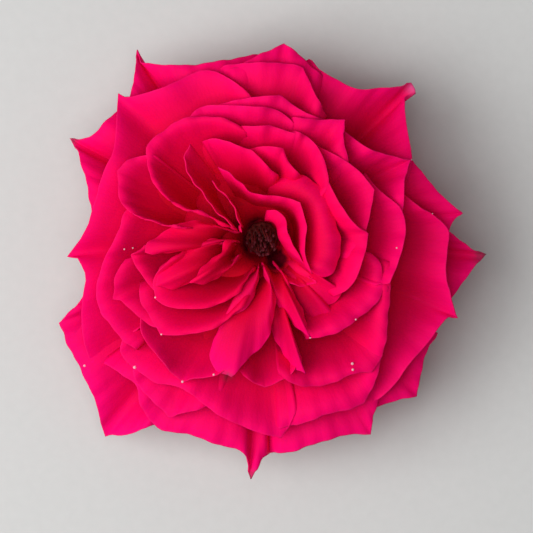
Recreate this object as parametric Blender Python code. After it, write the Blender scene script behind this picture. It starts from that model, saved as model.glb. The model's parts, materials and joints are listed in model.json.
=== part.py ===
"""A picked garden rose: cut stem, calyx with five folded-back sepals, layered petals and stamens."""

from math import cos, pi, radians, sin

import bmesh
import bpy
import numpy as np

MM = 0.001

# Where the eye of the bloom stands, so that the whole rose is centred on the origin
EYE_X = -2.75
EYE_Y = 5.89

# Stem
STEM_RADIUS_FOOT = 2.5
STEM_RADIUS_TOP = 2.8
STEM_TOP = 8.7
STEM_SIDES = 20

# Hip under the petals: radius and height of its outline
HIP_OUTLINE = [(3.1, 9.0), (4.6, 10.4), (5.5, 12.6), (5.3, 15.0), (4.7, 16.6), (5.6, 17.6), (5.8, 18.2)]
HIP_SIDES = 24

# Sepals
SEPAL_COUNT = 5
SEPAL_FIRST_TURN = 20.0
SEPAL_SPINE = [(3.6, 17.2), (7.5, 17.0), (12.0, 14.2), (16.5, 9.8), (20.5, 5.0), (24.0, 0.25)]
SEPAL_HALF_WIDTH = [3.0, 3.6, 3.4, 2.6, 1.5, 0.4]
SEPAL_KEEL = 0.8
SEPAL_THICK = 0.9

# Core that holds the claws of the petals, with a hollow for the stamens
CORE_OUTLINE = [(5.6, 18.5), (7.8, 19.3), (8.4, 21.2), (13.0, 23.2), (18.0, 25.0), (19.5, 27.0),
                (18.0, 29.5), (13.0, 31.5), (9.5, 32.0), (7.0, 30.0), (5.2, 25.5), (4.5, 23.2)]
CORE_SIDES = 12

# Stamens
DISC_OUTLINE = [(3.9, 23.3), (4.0, 23.9), (2.6, 24.6)]
DISC_SIDES = 16
STAMEN_RINGS = [(0.7, 5, 6.2), (2.0, 10, 6.8), (3.2, 12, 6.0)]
STAMEN_LEAN = (0.4, -2.3)
STAMEN_REACH = 4.2
FILAMENT_RADIUS = 0.34
FILAMENT_ROOT = 23.7
FILAMENT_STATIONS = [0.0, 0.4, 0.75, 1.0]
ANTHER_LENGTH = 1.5
ANTHER_WIDTH = 1.0

# Petals
PETAL_THICK = 0.6
DOME_TOP = 45.0
DOME_FALL = 30.0
DOME_REACH = 60.0
DOME_POWER = 2.2
DOME_SHIFT = (1.5, -3.0)
DOME_SHIFT_REACH = 45.0
DROP_POWER = 2.5
DIVE_POWER = 10
FOLD_WIDTH = 0.4
CURL_WIDTH = 0.15
WAVE_FADE = 0.5
WAVE_POWER = 1.5
DOME_DIP = 5.0
DOME_DIP_REACH = 12.0
BOW_WIDTH = 0.2
CLAW_RADIUS = (4.9, 9.5)
CLAW_HEIGHT = (25.0, 1.0)
GUARD_CLAW_RADIUS = 6.6
GUARD_CLAW_HEIGHT = 19.6
GUARD_CLAW_SPREAD = 0.8
STEEPNESS_AT = [5, 10, 20, 30, 40, 50, 60]
STEEPNESS = [89, 86, 72, 52, 28, 15, 8]
STEEPNESS_LIMITS = (3, 92)
STATIONS = [0.0, 0.4, 0.74, 1.0]
INNER_STATIONS = [0.0, 0.6, 1.0]
RIM_STEPS = 96
RIM_ROUNDING = 3.0
RIM_ROUNDS = (4, 60)
LINE_STEPS = 24
POINT_FROM = 0.55

# How each kind of petal runs from claw to rim: drop of its margins, dive of their very ends and bow of both
# its sides, height of its waves, change of its first steepness, reach of the first handle, how far back and
# how deep its waist lies, slope at the rim and last handle
KINDS = {
    "tile": dict(drop=2.5, dive=4.0, bow=0.0, wave=0.8, rise=-6.0, first=0.36, back=0.3, waist=3.5,
                 slope=-22.0, last=0.15),
    "shelf": dict(drop=2.5, dive=4.0, bow=0.0, wave=0.7, rise=-8.0, first=0.35, back=0.25, waist=6.0,
                  slope=-10.0, last=0.14),
    "rising": dict(drop=1.5, dive=3.0, bow=0.0, wave=0.6, rise=-10.0, first=0.34, back=0.28, waist=7.0,
                   slope=8.0, last=0.16),
    "cup": dict(drop=0.5, dive=1.0, bow=0.0, wave=0.5, rise=-20.0, first=0.32, back=0.25, waist=9.0,
                slope=-22.0, last=0.17),
    "bowl": dict(drop=0.5, dive=2.0, bow=0.0, wave=0.5, rise=-14.0, first=0.3, back=0.25, waist=9.0,
                 slope=18.0, last=0.1),
    "roll": dict(drop=2.0, dive=3.0, bow=0.0, wave=0.3, rise=10.0, first=0.45, back=0.5, waist=-4.0,
                 slope=-55.0, last=0.2),
    "ridge": dict(drop=3.0, dive=0.0, bow=6.0, wave=0.2, rise=32.0, first=0.6, back=0.5, waist=-5.0,
                  slope=-30.0, last=0.13),
    "page": dict(drop=0.0, dive=0.0, bow=0.0, wave=0.4, rise=-8.0, first=0.35, back=0.2, waist=7.0,
                 slope=30.0, last=0.13),
}


def petal(name, kind, lift, tip, rim, cells=4, **changes):
    """One petal: its rim is a line in plan, in mm from the eye, clockwise, and tip is its pointed place."""
    return dict(KINDS[kind], name=name, lift=lift, tip=tip, rim=rim, cells=cells, **changes)


def guard(name, lift, tip, rim, cells=8, **changes):
    """One outside petal, with a fold that runs in from its point."""
    return dict(petal(name, "tile", lift, tip, rim, cells), drop=1.5, fold=1.0, curl=-0.5, **changes)


# The pointed petals of the outside ring
GUARD_PETALS = [
    guard("guard_right", -2.0, 4, [(42, 4), (47, 1.5), (50, -1), (53.5, -3), (56.25, -4), (54, -6.25),
          (50.75, -10.5), (47.5, -15), (43, -20)], 7, waist=3.0, slope=-6.0),
    guard("guard_upper_right", -0.5, 4, [(34, 23), (37.5, 19.5), (42, 13.75), (47, 8.75), (50.25, 6.25),
          (48.25, 4.75), (46, 0)], 6, waist=3.0, slope=-6.0),
    guard("guard_top_right", 0.0, 7, [(9.5, 43), (11.75, 45), (14.5, 42), (19, 39.5), (23.5, 37.25),
          (29.5, 37.5), (34.25, 38), (37.5, 39), (38.5, 36.4), (36, 34.8), (36, 29.5), (36.75, 24.5),
          (37.5, 19.5), (36, 14)], 9, waist=4.0, slope=0.0),
    guard("guard_top_left", -1.0, 2, [(-34, 31), (-32, 41), (-31.5, 47.5), (-30.25, 44.5),
          (-27.5, 43.75), (-20.5, 43.25), (-11.75, 44), (-4.25, 45.5), (0, 46)], 7),
    guard("guard_top", 1.0, 2, [(-9.25, 41.5), (0, 46), (5.5, 48.75), (11, 44.25), (15.75, 39.5)], 6),
    guard("guard_upper_left", -1.0, 5, [(-42.5, 5), (-43, 10), (-44, 14.5), (-45.25, 18.25),
          (-46.25, 22), (-48.25, 25), (-43.5, 25.25), (-39.75, 28.5), (-35, 33)], 7),
    guard("guard_lower_left", -1.0, 3, [(-26, -46), (-34.25, -49.5), (-38, -49.5), (-39.5, -50),
          (-40.5, -46.75), (-41.25, -43), (-43, -38), (-45.5, -33), (-47.5, -29), (-49.4, -25),
          (-49.8, -22.6), (-47, -18), (-43, -14)], 9),
    guard("guard_left_point", -2.0, 4, [(-43, -36), (-46, -31.5), (-48, -27.5), (-49.6, -24.2),
          (-50.8, -21.2), (-48.6, -18.8), (-46, -16.3), (-44, -13), (-42.5, -9)], 7),
    guard("guard_bottom_right", -1.0, 3, [(30, -36), (28.5, -42.5), (27.75, -45.5), (27.25, -49),
          (22, -49.25), (17, -50.25), (12, -52), (8.25, -53.25), (1, -54)], 7),
    guard("guard_lower_right", -2.0, 4, [(44, -24), (41.5, -28), (40, -32), (39.5, -35.5),
          (38.75, -39.75), (34.5, -40.25), (30.75, -41.75), (27, -42.5)], 6),
    guard("guard_bottom", 0.0, 2, [(2, -54), (0, -55.5), (-2.75, -60.5), (-4.75, -53.75), (-10, -52),
          (-15.5, -50), (-20.5, -48.75), (-25, -48), (-27.25, -46.75), (-29, -44.25), (-30.75, -40.5),
          (-31.25, -37.25), (-35.5, -33.75), (-40.5, -31)], 9),
]

# The broad petals inside the guard petals
OUTER_PETALS = [
    petal("outer_top", "tile", 0.5, 4, [(-12.25, 40.5), (-9.25, 43), (0, 43.75), (7, 43.5),
          (10.25, 42.5), (12.5, 37.5), (14.5, 33.25), (16.25, 30.25)], 5),
    petal("outer_left", "tile", 0.5, 16, [(-42, -34), (-44.4, -27), (-45.2, -20), (-44.6, -13.5),
          (-44, -9.75), (-45.25, -6.5), (-46.75, -4.5), (-49, -5.25), (-47.5, -3), (-45.5, -0.5),
          (-43.5, 3.25), (-42.25, 7.5), (-41.25, 10), (-40.75, 13), (-39, 17.75), (-37.25, 21),
          (-36, 36.25), (-33.5, 35.25), (-29.25, 36.25), (-24.25, 37.75), (-19.25, 40.25),
          (-15.5, 41.75), (-12, 41.75), (-8.5, 40), (-5.25, 37.75), (-2.5, 35), (0, 31)], 13,
          rise=-14.0, waist=5.0, slope=-16.0),
    petal("outer_right", "rising", 0.0, 9, [(34, 12), (36.75, 9.75), (39.5, 7.75), (42.5, 5.75),
          (45.5, 3.5), (46.75, 1.5), (46.25, -3), (46, -9.25), (47.25, -15), (49, -20), (46.75, -19.5),
          (44.5, -22), (42, -25.5), (37, -31.25), (32.75, -37), (28.75, -40.5), (26, -41)], 8),
    petal("left_cup", "cup", -0.5, 1, [(-31, -28), (-34.75, -25.75), (-38, -21.25), (-40.25, -18.75),
          (-41.25, -15), (-41, -11), (-40.25, -8), (-39.25, -5), (-37.5, -2), (-35.5, 2.5),
          (-33.75, 6.75), (-30, 7)], 6, dive=5.0),
    petal("lower_right", "cup", 0.0, 6, [(32.5, -6), (31.75, -13), (31.5, -18), (30.75, -25.5),
          (29, -33), (27, -38.75), (25.5, -41.25), (20.75, -43), (14.5, -44.5), (9.5, -46.5),
          (4, -47.5)], 6, rise=-14.0, waist=7.0, slope=-36.0, last=0.2),
    petal("bottom_apron", "tile", -0.5, 2, [(9, -42), (7, -46.75), (4.75, -50), (-0.5, -48.6),
          (-5.5, -46.75), (-11.75, -43.5), (-15.5, -40.75), (-18, -38.5), (-21.75, -36.9),
          (-26.25, -36.25), (-29.25, -34.25), (-33, -31.75), (-35.25, -28.5), (-34.5, -25), (-31, -23)],
          7, drop=2.0, dive=1.5, waist=7.5),
    petal("lower_left_apron", "tile", -0.8, 3, [(-9, -40), (-15.5, -42.7), (-20.5, -43.9),
          (-23.25, -45), (-25, -42.8), (-27, -41), (-30.5, -37.5), (-32, -34), (-32, -29)], waist=5.0),
]

# The petals above and to the right of the eye
UPPER_PETALS = [
    petal("top_sliver", "shelf", 0.0, 2, [(-12, 33), (-2.5, 35), (4.5, 35.5), (10.75, 31.25),
          (17, 29)]),
    petal("top_band", "shelf", 0.0, 3, [(-20, 27.5), (-15.5, 32.5), (-9, 33), (-3, 32.75), (3.25, 32),
          (7, 29.5), (9, 26.25)], 5),
    petal("upper_right", "rising", 0.0, 3, [(20, 27), (25.75, 22.75), (30.75, 20.75), (37.25, 19.5),
          (35.75, 15.75), (35.25, 8.25), (34, 2)], 4, slope=0.0),
    petal("upper_right_inner", "tile", 0.5, 2, [(6, 30), (13.25, 29.5), (20.75, 29.25), (20.25, 25.75),
          (21.25, 19.5), (22.5, 16)]),
    petal("right_band", "rising", 0.0, 7, [(25.75, 16), (29.5, 11.5), (32.25, 9.5), (34.5, 7.5),
          (35.75, 3), (35.25, -1.75), (33.5, -7), (31.8, -11.3), (27, -12)], 5),
    petal("top_mid", "shelf", 0.0, 2, [(-8, 28), (-1.75, 27.75), (2, 28), (7, 26.25), (9.5, 25.75),
          (12, 24)]),
    petal("top_wedge", "shelf", 0.0, 2, [(7, 26.5), (9, 26.3), (11.2, 25.3), (13.5, 23), (15.2, 20),
          (16.1, 17), (16.6, 13.9), (15.2, 10.5), (13, 8)]),
    petal("top_inner", "shelf", 0.0, 2, [(-3.5, 22), (0.5, 22.75), (5.25, 22.25), (6.25, 19.5),
          (7.75, 17.5), (10, 15)]),
    petal("top_left_inner", "shelf", 0.0, 3, [(-15, 24), (-11.75, 24.75), (-7.5, 23.5), (-4.25, 22.25),
          (-2.25, 21.5), (0, 19.25), (2, 17.25), (4.25, 15)], 5),
    petal("right_high", "rising", 0.0, 4, [(12, 24.5), (14, 22.75), (19.5, 20), (24.5, 16.2), (28, 12),
          (27.25, 8.25), (26.6, 4.5), (25.4, 0.5), (23, -4), (20, -7)], 6, dive=8.0),
    petal("right_inner", "rising", 1.2, 5, [(14.5, 17.5), (16.8, 13.5), (18.2, 10.6), (20, 7.4),
          (22.8, 3.8), (26.4, 1.1), (25.8, -3), (24.6, -7), (23.2, -10.4), (21, -13), (17.5, -14.5)], 6,
          drop=3.0),
    petal("right_low", "roll", -0.5, 5, [(25, -3), (28.6, -5.4), (30.2, -9.5), (29.9, -13.5),
          (27.2, -17.5), (23.5, -20.4), (20.75, -22.25), (17, -24.25), (11, -25)], 5, slope=-30.0,
          back=0.25, waist=7.0, rise=-18.0, first=0.32),
]

# The cupped petals below and to the left of the eye
LOWER_PETALS = [
    petal("bottom_crescent", "cup", 0.0, 4, [(31, -11), (31.3, -17), (30.9, -24), (29.6, -30),
          (27.2, -33.3), (22.5, -34), (18, -35.8), (14, -37), (9, -36.6), (4, -34)], 6, waist=9.0,
          slope=-30.0),
    petal("lower_left_cup", "bowl", 0.5, 4, [(-3, -30), (-8, -32.6), (-12.5, -34.4), (-16, -35),
          (-19.8, -36), (-23, -33), (-26, -29.5), (-28.5, -26.25), (-30, -23.75), (-30.4, -20.5),
          (-29, -13)], 6, drop=3.5, dive=4.0, waist=11.0),
    petal("bottom_cup", "bowl", -1.0, 3, [(9, -30), (8, -33.4), (4.5, -35.5), (0.75, -37.25),
          (-1.25, -36.5), (-3, -35.5), (-5.75, -33)], waist=11.0),
    petal("page_low", "cup", -1.0, 4, [(-24, -15.5), (-27.5, -12.5), (-29.25, -10), (-31, -7.5),
          (-32.75, -4.5), (-29, -2)]),
    petal("page_under", "cup", -0.5, 5, [(-1.75, -13), (-5.5, -17.5), (-10.5, -21.75), (-15.5, -23.5),
          (-21.75, -24.25), (-25.25, -24), (-27.5, -20.5), (-28.75, -18), (-30.25, -15.5),
          (-30.5, -11)], 5, dive=4.0, waist=5.0),
    petal("page_shelf", "cup", -1.0, 5, [(-22, -23), (-28, -21.75), (-30.5, -19.75), (-33, -17.5),
          (-35.5, -15.5), (-37.25, -15.25), (-36.75, -12.5), (-36.5, -9.5), (-34, -5)], 4, waist=6.0),
]

# The petals to the left of the eye, folded like the pages of a book
PAGE_PETALS = [
    petal("page_outer", "cup", 0.0, 6, [(-19, 2.5), (-25, 3.25), (-30, 5), (-33.5, 7), (-35.5, 9.75),
          (-35.75, 12), (-36, 16.75), (-33, 19.5), (-27, 21)], 5, waist=11.0),
    petal("page_big", "cup", 0.0, 3, [(-6.75, 2.25), (-9.25, 3), (-14.25, 6), (-19.25, 7),
          (-21.5, 8.25), (-25, 11), (-27.5, 15), (-28.75, 19.5), (-28.25, 23.25), (-25.5, 26),
          (-21, 29), (-15.5, 30.25), (-9.25, 29.5), (-4, 27)], 9, waist=12.0, slope=-38.0),
    petal("page_wall", "page", 0.5, None, [(-7.5, 2.75), (-11, 6.5), (-14.75, 10.75), (-17.5, 15),
          (-19.5, 19.75), (-17.75, 23.25)]),
    petal("page_thin", "page", 0.0, None, [(-4.75, 1.5), (-5.75, 4.25), (-7.25, 7.5), (-8.75, 10.25),
          (-10.75, 12.5), (-12.5, 14)], 4),
    petal("page_fold", "ridge", 0.0, 4, [(-5.5, -1), (-10.5, -0.4), (-17.4, -1.8), (-22.4, -3.8),
          (-29, -3.6), (-28.6, -1.4), (-25, 1), (-21.75, 2.8), (-16.75, 4.4), (-12.4, 3), (-6, 1.5)], 7,
          bow=4.0),
    petal("spoon", "shelf", 0.0, 5, [(-2, -8), (-6.75, -14.25), (-13, -17.25), (-19.25, -17.6),
          (-24, -16.9), (-26.4, -15.2), (-27, -10.5), (-25, -7.4), (-22, -5), (-19, -2.5)], 6,
          waist=3.5),
    petal("spoon_inner", "ridge", 0.0, 5, [(-7.5, -6), (-9.9, -7.3), (-13, -8.9), (-16.75, -10.6),
          (-21.75, -12.4), (-26.4, -12), (-25.6, -8.4), (-22.8, -5.4), (-19.25, -3), (-14.9, -1.7),
          (-10.5, -1.4), (-7.5, -2)], 6, bow=4.0),
    petal("spoon_tongue", "ridge", 2.0, 4, [(-6.8, -5), (-8, -7), (-9.8, -9.3), (-13, -10.9),
          (-18, -11.2), (-15.4, -8.2), (-12.4, -5.6), (-10.2, -3.4), (-9.2, -0.6), (-7, -1)], 5,
          bow=3.0),
]

# The petals that stand round the eye
HEART_PETALS = [
    petal("eye_right_band", "roll", -2.5, 8, [(2, 15.2), (7, 15.8), (10.6, 15.2), (13.6, 13.6),
          (15.9, 10.75), (17.4, 7), (18.7, 2.6), (19.4, -3), (18.8, -6.8), (17, -9), (14.5, -9.6),
          (12, -8.5)], 7, drop=4.0),
    petal("eye_top", "page", 0.0, 6, [(-11, 17.5), (-8, 16.25), (-5.5, 13.75), (-3, 11.25), (0, 10.75),
          (4.5, 10.25), (9.6, 8.8), (11, 3.25), (10.7, -1.75), (11.2, -6), (12.4, -9)], 7, waist=4.0,
          slope=20.0),
    petal("eye_ledge", "page", -5.0, 1, [(12, -9.5), (13.6, -11.2), (10, -11.9), (6.4, -11.4)], 4,
          waist=3.0),
    petal("crumple_inner", "ridge", -3.5, 2, [(12, -12), (16.5, -12.6), (20.4, -13), (17.8, -16.2),
          (12.5, -15.5)], 4, bow=2.5),
    petal("crumple_outer", "ridge", -5.0, None, [(10.5, -16), (14, -16.2), (17.4, -17.2), (18.4, -19.4),
          (16.4, -21.4), (12.6, -21.2), (9.8, -18.8)], 5, bow=2.0, wave=0.6),
    petal("eye_roll", "tile", 0.0, None, [(1.2, 6.8), (2.6, 6.9), (4.2, 6.4), (5.6, 5.2), (6.3, 3.4),
          (6.5, 0.8), (7.8, -2.1), (9.8, -4.9), (11.6, -7.6)], 6, dive=3.0, waist=2.5, lean=5.0,
          slope=25.0),
    petal("spear", "ridge", 0.0, 4, [(3, -6.5), (5.75, -9.9), (8.6, -14.9), (10.4, -19.9),
          (12.1, -24.75), (9.3, -22.4), (6.4, -19.9), (3.9, -16.75), (3.2, -13.5), (1.6, -9.9),
          (0, -6.75)], 7, bow=5.0),
    petal("bottom_fold", "ridge", 0.0, 4, [(3.9, -18.6), (5.4, -21.4), (7.3, -25.2), (9.2, -29.25),
          (10.9, -33.75), (7.6, -32), (5.4, -29.25), (3.6, -25.5), (2.6, -22.7), (2.4, -19)], 5),
    petal("tongue", "ridge", 0.5, 7, [(0.5, -8.5), (2.5, -13), (3.25, -16.75), (2.75, -20.5),
          (1.5, -24.5), (-1, -28), (-4, -30.5), (-7.5, -34.5), (-11.5, -33), (-12.75, -29.25),
          (-12.25, -26.25), (-10.75, -22.5), (-8, -20), (-3.5, -16.75), (-1.25, -12.5), (-1, -8.5)], 8,
          bow=3.0),
]

PETALS = GUARD_PETALS + OUTER_PETALS + UPPER_PETALS + LOWER_PETALS + PAGE_PETALS + HEART_PETALS

# Colours
PETAL_COLOUR = (0.85, 0.005, 0.12, 1.0)
STAMEN_COLOUR = (0.06, 0.012, 0.01, 1.0)
CALYX_COLOUR = (0.16, 0.28, 0.07, 1.0)
STEM_COLOUR = (0.13, 0.24, 0.06, 1.0)


def clear_scene():
    for old in list(bpy.data.objects):
        bpy.data.objects.remove(old)


def material(name, colour, roughness):
    made = bpy.data.materials.new(name)
    made.use_nodes = True
    shader = made.node_tree.nodes["Principled BSDF"]
    shader.inputs["Base Color"].default_value = colour
    shader.inputs["Roughness"].default_value = roughness
    made.diffuse_color = colour
    return made


def mesh_object(name, points, faces, collection=None):
    """An object from points in mm from the eye's axis and the floor, moved so that the rose is centred."""
    placed = (np.asarray(points, float) + [EYE_X, EYE_Y, 0.0]) * MM
    mesh = bpy.data.meshes.new(name)
    mesh.from_pydata(placed.tolist(), [], [list(map(int, face)) for face in faces])
    mesh.update()
    made = bpy.data.objects.new(name, mesh)
    (collection or bpy.context.scene.collection).objects.link(made)
    return made


def revolved(outline, sides):
    """Points and faces of a closed solid from an outline of (radius, height) turned round the eye's axis."""
    turns = np.arange(sides) * 2 * pi / sides
    rings = [[(r * cos(t), r * sin(t), z) for t in turns] for r, z in outline]
    points = [point for ring in rings for point in ring]
    points += [(0.0, 0.0, outline[0][1]), (0.0, 0.0, outline[-1][1])]
    foot = len(points) - 2
    top = len(points) - 1
    faces = []
    for i in range(sides):
        j = (i + 1) % sides
        faces.append((foot, j, i))
        for k in range(len(outline) - 1):
            a = k * sides
            b = a + sides
            faces.append((a + i, a + j, b + j))
            faces.append((a + i, b + j, b + i))
        last = (len(outline) - 1) * sides
        faces.append((top, last + i, last + j))
    return points, faces


def surface_normals(grid):
    across = np.gradient(grid, axis=1)
    along = np.gradient(grid, axis=0)
    normal = np.cross(across, along)
    size = np.linalg.norm(normal, axis=2, keepdims=True)
    return normal / np.maximum(size, 1e-9)


def slab(grid, thick):
    """Points and triangles of a blade: the surface moved half its thickness to each side and closed."""
    normal = surface_normals(grid)
    half = normal * thick / 2
    points = np.concatenate([(grid + half).reshape(-1, 3), (grid - half).reshape(-1, 3)])
    rows, columns = grid.shape[:2]
    index = np.arange(rows * columns).reshape(rows, columns)
    a, b = index[:-1, :-1], index[:-1, 1:]
    c, d = index[1:, 1:], index[1:, :-1]
    one = np.stack([a, b, c], axis=-1).reshape(-1, 3)
    two = np.stack([a, c, d], axis=-1).reshape(-1, 3)
    face = np.concatenate([one, two])
    back = face[:, ::-1] + rows * columns
    ring = np.concatenate([index[0, :], index[1:, -1], index[-1, :-1][::-1], index[1:-1, 0][::-1]])
    onward = np.roll(ring, -1)
    far = rows * columns
    edge = np.concatenate([np.stack([onward, ring, ring + far], axis=1),
                           np.stack([onward, ring + far, onward + far], axis=1)])
    return points, np.concatenate([face, back, edge])


def smooth_line(points, cells):
    """Evenly spaced places on a smooth line through the points: a centripetal Catmull-Rom curve."""
    points = np.asarray(points, float)
    if len(points) == 2:
        share = np.linspace(0, 1, cells + 1)[:, None]
        return points[0] * (1 - share) + points[1] * share
    ends = np.vstack([2 * points[0] - points[1], points, 2 * points[-1] - points[-2]])
    pieces = []
    for i in range(len(points) - 1):
        a, b, c, d = ends[i:i + 4]
        t1 = np.linalg.norm(b - a) ** 0.5
        t2 = t1 + np.linalg.norm(c - b) ** 0.5
        t3 = t2 + np.linalg.norm(d - c) ** 0.5
        t = np.linspace(t1, t2, LINE_STEPS, endpoint=False)[:, None]
        ab = (t1 - t) / t1 * a + t / t1 * b
        bc = (t2 - t) / (t2 - t1) * b + (t - t1) / (t2 - t1) * c
        cd = (t3 - t) / (t3 - t2) * c + (t - t2) / (t3 - t2) * d
        abc = (t2 - t) / t2 * ab + t / t2 * bc
        bcd = (t3 - t) / (t3 - t1) * bc + (t - t1) / (t3 - t1) * cd
        pieces.append((t2 - t) / (t2 - t1) * abc + (t - t1) / (t2 - t1) * bcd)
    pieces.append(points[-1:])
    fine = np.vstack(pieces)
    steps = np.linalg.norm(np.diff(fine, axis=0), axis=1)
    run = np.concatenate([[0.0], np.cumsum(steps)])
    at = np.linspace(0, run[-1], cells + 1)
    return np.stack([np.interp(at, run, fine[:, k]) for k in range(2)], axis=1)


def rim_in_plan(rim, tip, cells):
    """The rim as points in plan, the same line rounded off, and each point's share from the tip.

    The share is -1 at one margin, 0 at the tip and 1 at the other margin.
    """
    rim = np.asarray(rim, float)
    steps = np.linalg.norm(np.diff(rim, axis=0), axis=1)
    if tip is None:
        line = smooth_line(rim, RIM_STEPS)
        places = np.linspace(0, RIM_STEPS, cells + 1)
        share = np.linspace(-1, 1, RIM_STEPS + 1)
    else:
        left = steps[:tip].sum() / steps.sum()
        turn = int(np.clip(round(RIM_STEPS * left), 2, RIM_STEPS - 2))
        first = int(np.clip(round(cells * left), 1, cells - 1))
        line = np.vstack([smooth_line(rim[:tip + 1], turn), smooth_line(rim[tip:], RIM_STEPS - turn)[1:]])
        places = np.concatenate([np.linspace(0, turn, first + 1),
                                 np.linspace(turn, RIM_STEPS, cells - first + 1)[1:]])
        share = np.concatenate([np.linspace(-1, 0, turn + 1), np.linspace(0, 1, RIM_STEPS - turn + 1)[1:]])
    soft = line
    step = steps.sum() / RIM_STEPS
    for _ in range(int(np.clip(2 * (RIM_ROUNDING / step) ** 2, *RIM_ROUNDS))):
        wide = np.vstack([2 * soft[0] - soft[1], soft, 2 * soft[-1] - soft[-2]])
        soft = (wide[:-2] + 2 * wide[1:-1] + wide[2:]) / 4
    index = np.arange(RIM_STEPS + 1)
    sampled = [np.interp(places, index, column) for column in (*line.T, *soft.T, share)]
    return np.stack(sampled[:2], axis=1), np.stack(sampled[2:4], axis=1), sampled[4]


def dome_height(x, y):
    """Height of the bloom's outer form: a flattened dome, dipped at the eye, its middle a little off."""
    far = np.hypot(x, y)
    weight = np.clip(far / DOME_SHIFT_REACH, 0, 1)
    reach = np.hypot(x - DOME_SHIFT[0] * weight, y - DOME_SHIFT[1] * weight)
    dip = DOME_DIP * np.exp(-(far / DOME_DIP_REACH) ** 2)
    return DOME_TOP - dip - DOME_FALL * (reach / DOME_REACH) ** DOME_POWER


def petal_surface(row, cells, stations):
    """Grid of points, claw to rim by margin to margin: each line along the petal has five handles.

    The curves run to the rounded rim, and near their ends they bend to the true rim with its point.
    """
    sharp, plan, share = rim_in_plan(row["rim"], row["tip"], cells)
    x, y = plan[:, 0], plan[:, 1]
    far = np.hypot(x, y)
    margin = np.abs(share)
    z = dome_height(x, y) + row["lift"] - row["drop"] * margin ** DROP_POWER
    z = z - row["dive"] * margin ** DIVE_POWER
    z = z - row["bow"] * (1 - np.exp(-(margin / BOW_WIDTH) ** 2))
    rim = np.stack([x, y, z], axis=1)
    middle = np.arctan2(y.mean(), x.mean())
    turn = (np.arctan2(y, x) - middle + pi) % (2 * pi) - pi
    if "fold" in row:
        claw_radius = np.full_like(x, GUARD_CLAW_RADIUS)
        claw_height = np.full_like(x, GUARD_CLAW_HEIGHT)
        claw_turn = middle + GUARD_CLAW_SPREAD * turn
    else:
        claw_radius = CLAW_RADIUS[0] + CLAW_RADIUS[1] * far / DOME_REACH
        claw_height = CLAW_HEIGHT[0] + CLAW_HEIGHT[1] * far / DOME_REACH
        claw_turn = middle + turn
    claw = np.stack([claw_radius * np.cos(claw_turn), claw_radius * np.sin(claw_turn), claw_height], axis=1)
    level = rim[:, :2] - claw[:, :2]
    run = np.linalg.norm(level, axis=1)
    outward = level / np.maximum(run, 1e-6)[:, None]
    size = np.linalg.norm(rim - claw, axis=1)
    steep = np.radians(np.clip(np.interp(far, STEEPNESS_AT, STEEPNESS) + row["rise"], *STEEPNESS_LIMITS))
    start = np.column_stack([outward * np.cos(steep)[:, None], np.sin(steep)])
    slope = np.full_like(x, radians(row["slope"]))
    end = np.column_stack([outward * np.cos(slope)[:, None], np.sin(slope)])
    first = claw + start * (row["first"] * size)[:, None]
    waist = rim - np.column_stack([outward * (row["back"] * run)[:, None], np.full_like(x, row["waist"])])
    waist[:, :2] -= row.get("lean", 0.0) * rim[:, :2] / far[:, None]
    last = rim - end * (row["last"] * size)[:, None]
    t = np.asarray(stations)[:, None, None]
    s = 1 - t
    grid = s ** 4 * claw + 4 * s ** 3 * t * first + 6 * s ** 2 * t ** 2 * waist
    grid = grid + 4 * s * t ** 3 * last + t ** 4 * rim
    wave = row["wave"] * np.sin(2 * pi * share + far.mean()) * (1 - WAVE_FADE * margin)
    grid[:, :, 2] += wave[None, :] * t[:, :, 0] ** WAVE_POWER
    fold = row.get("fold", 0.0) * (1 - np.exp(-(margin / FOLD_WIDTH) ** 2))
    curl = row.get("curl", 0.0) * np.exp(-(share / CURL_WIDTH) ** 2)
    point = dome_height(*sharp.T) - dome_height(x, y) - fold + curl
    bend = np.column_stack([sharp - plan, point])
    return grid + np.clip((t - POINT_FROM) / (1 - POINT_FROM), 0, 1) ** 3 * bend


def largest_shell(made):
    """Keeps the one outer surface of a mesh and drops the closed pockets that lie inside it."""
    mesh = bmesh.new()
    mesh.from_mesh(made.data)
    left = set(mesh.faces)
    shells = []
    while left:
        start = left.pop()
        shell = {start}
        front = [start]
        while front:
            for edge in front.pop().edges:
                for face in edge.link_faces:
                    if face in left:
                        left.remove(face)
                        shell.add(face)
                        front.append(face)
        shells.append(shell)
    shells.sort(key=len)
    for shell in shells[:-1]:
        bmesh.ops.delete(mesh, geom=list(shell), context="FACES")
    mesh.to_mesh(made.data)
    mesh.free()


def joined(base, pieces, solver):
    """The base with the pieces of a collection joined to it in one closed solid."""
    union = base.modifiers.new("joined", "BOOLEAN")
    union.operation = "UNION"
    union.operand_type = "COLLECTION"
    union.collection = pieces
    union.solver = solver
    graph = bpy.context.evaluated_depsgraph_get()
    result = bpy.data.meshes.new_from_object(base.evaluated_get(graph))
    base.modifiers.clear()
    base.data = result
    for piece in list(pieces.objects):
        bpy.data.objects.remove(piece)
    bpy.data.collections.remove(pieces)
    largest_shell(base)
    return base


def new_collection(name):
    made = bpy.data.collections.new(name)
    bpy.context.scene.collection.children.link(made)
    return made


def finish(made, look):
    made.data.materials.clear()
    made.data.materials.append(look)
    made.data.shade_smooth()


def add_stem():
    outline = [(STEM_RADIUS_FOOT, 0.0), (STEM_RADIUS_TOP, STEM_TOP)]
    made = mesh_object("stem", *revolved(outline, STEM_SIDES))
    finish(made, material("stem", STEM_COLOUR, 0.55))


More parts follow.
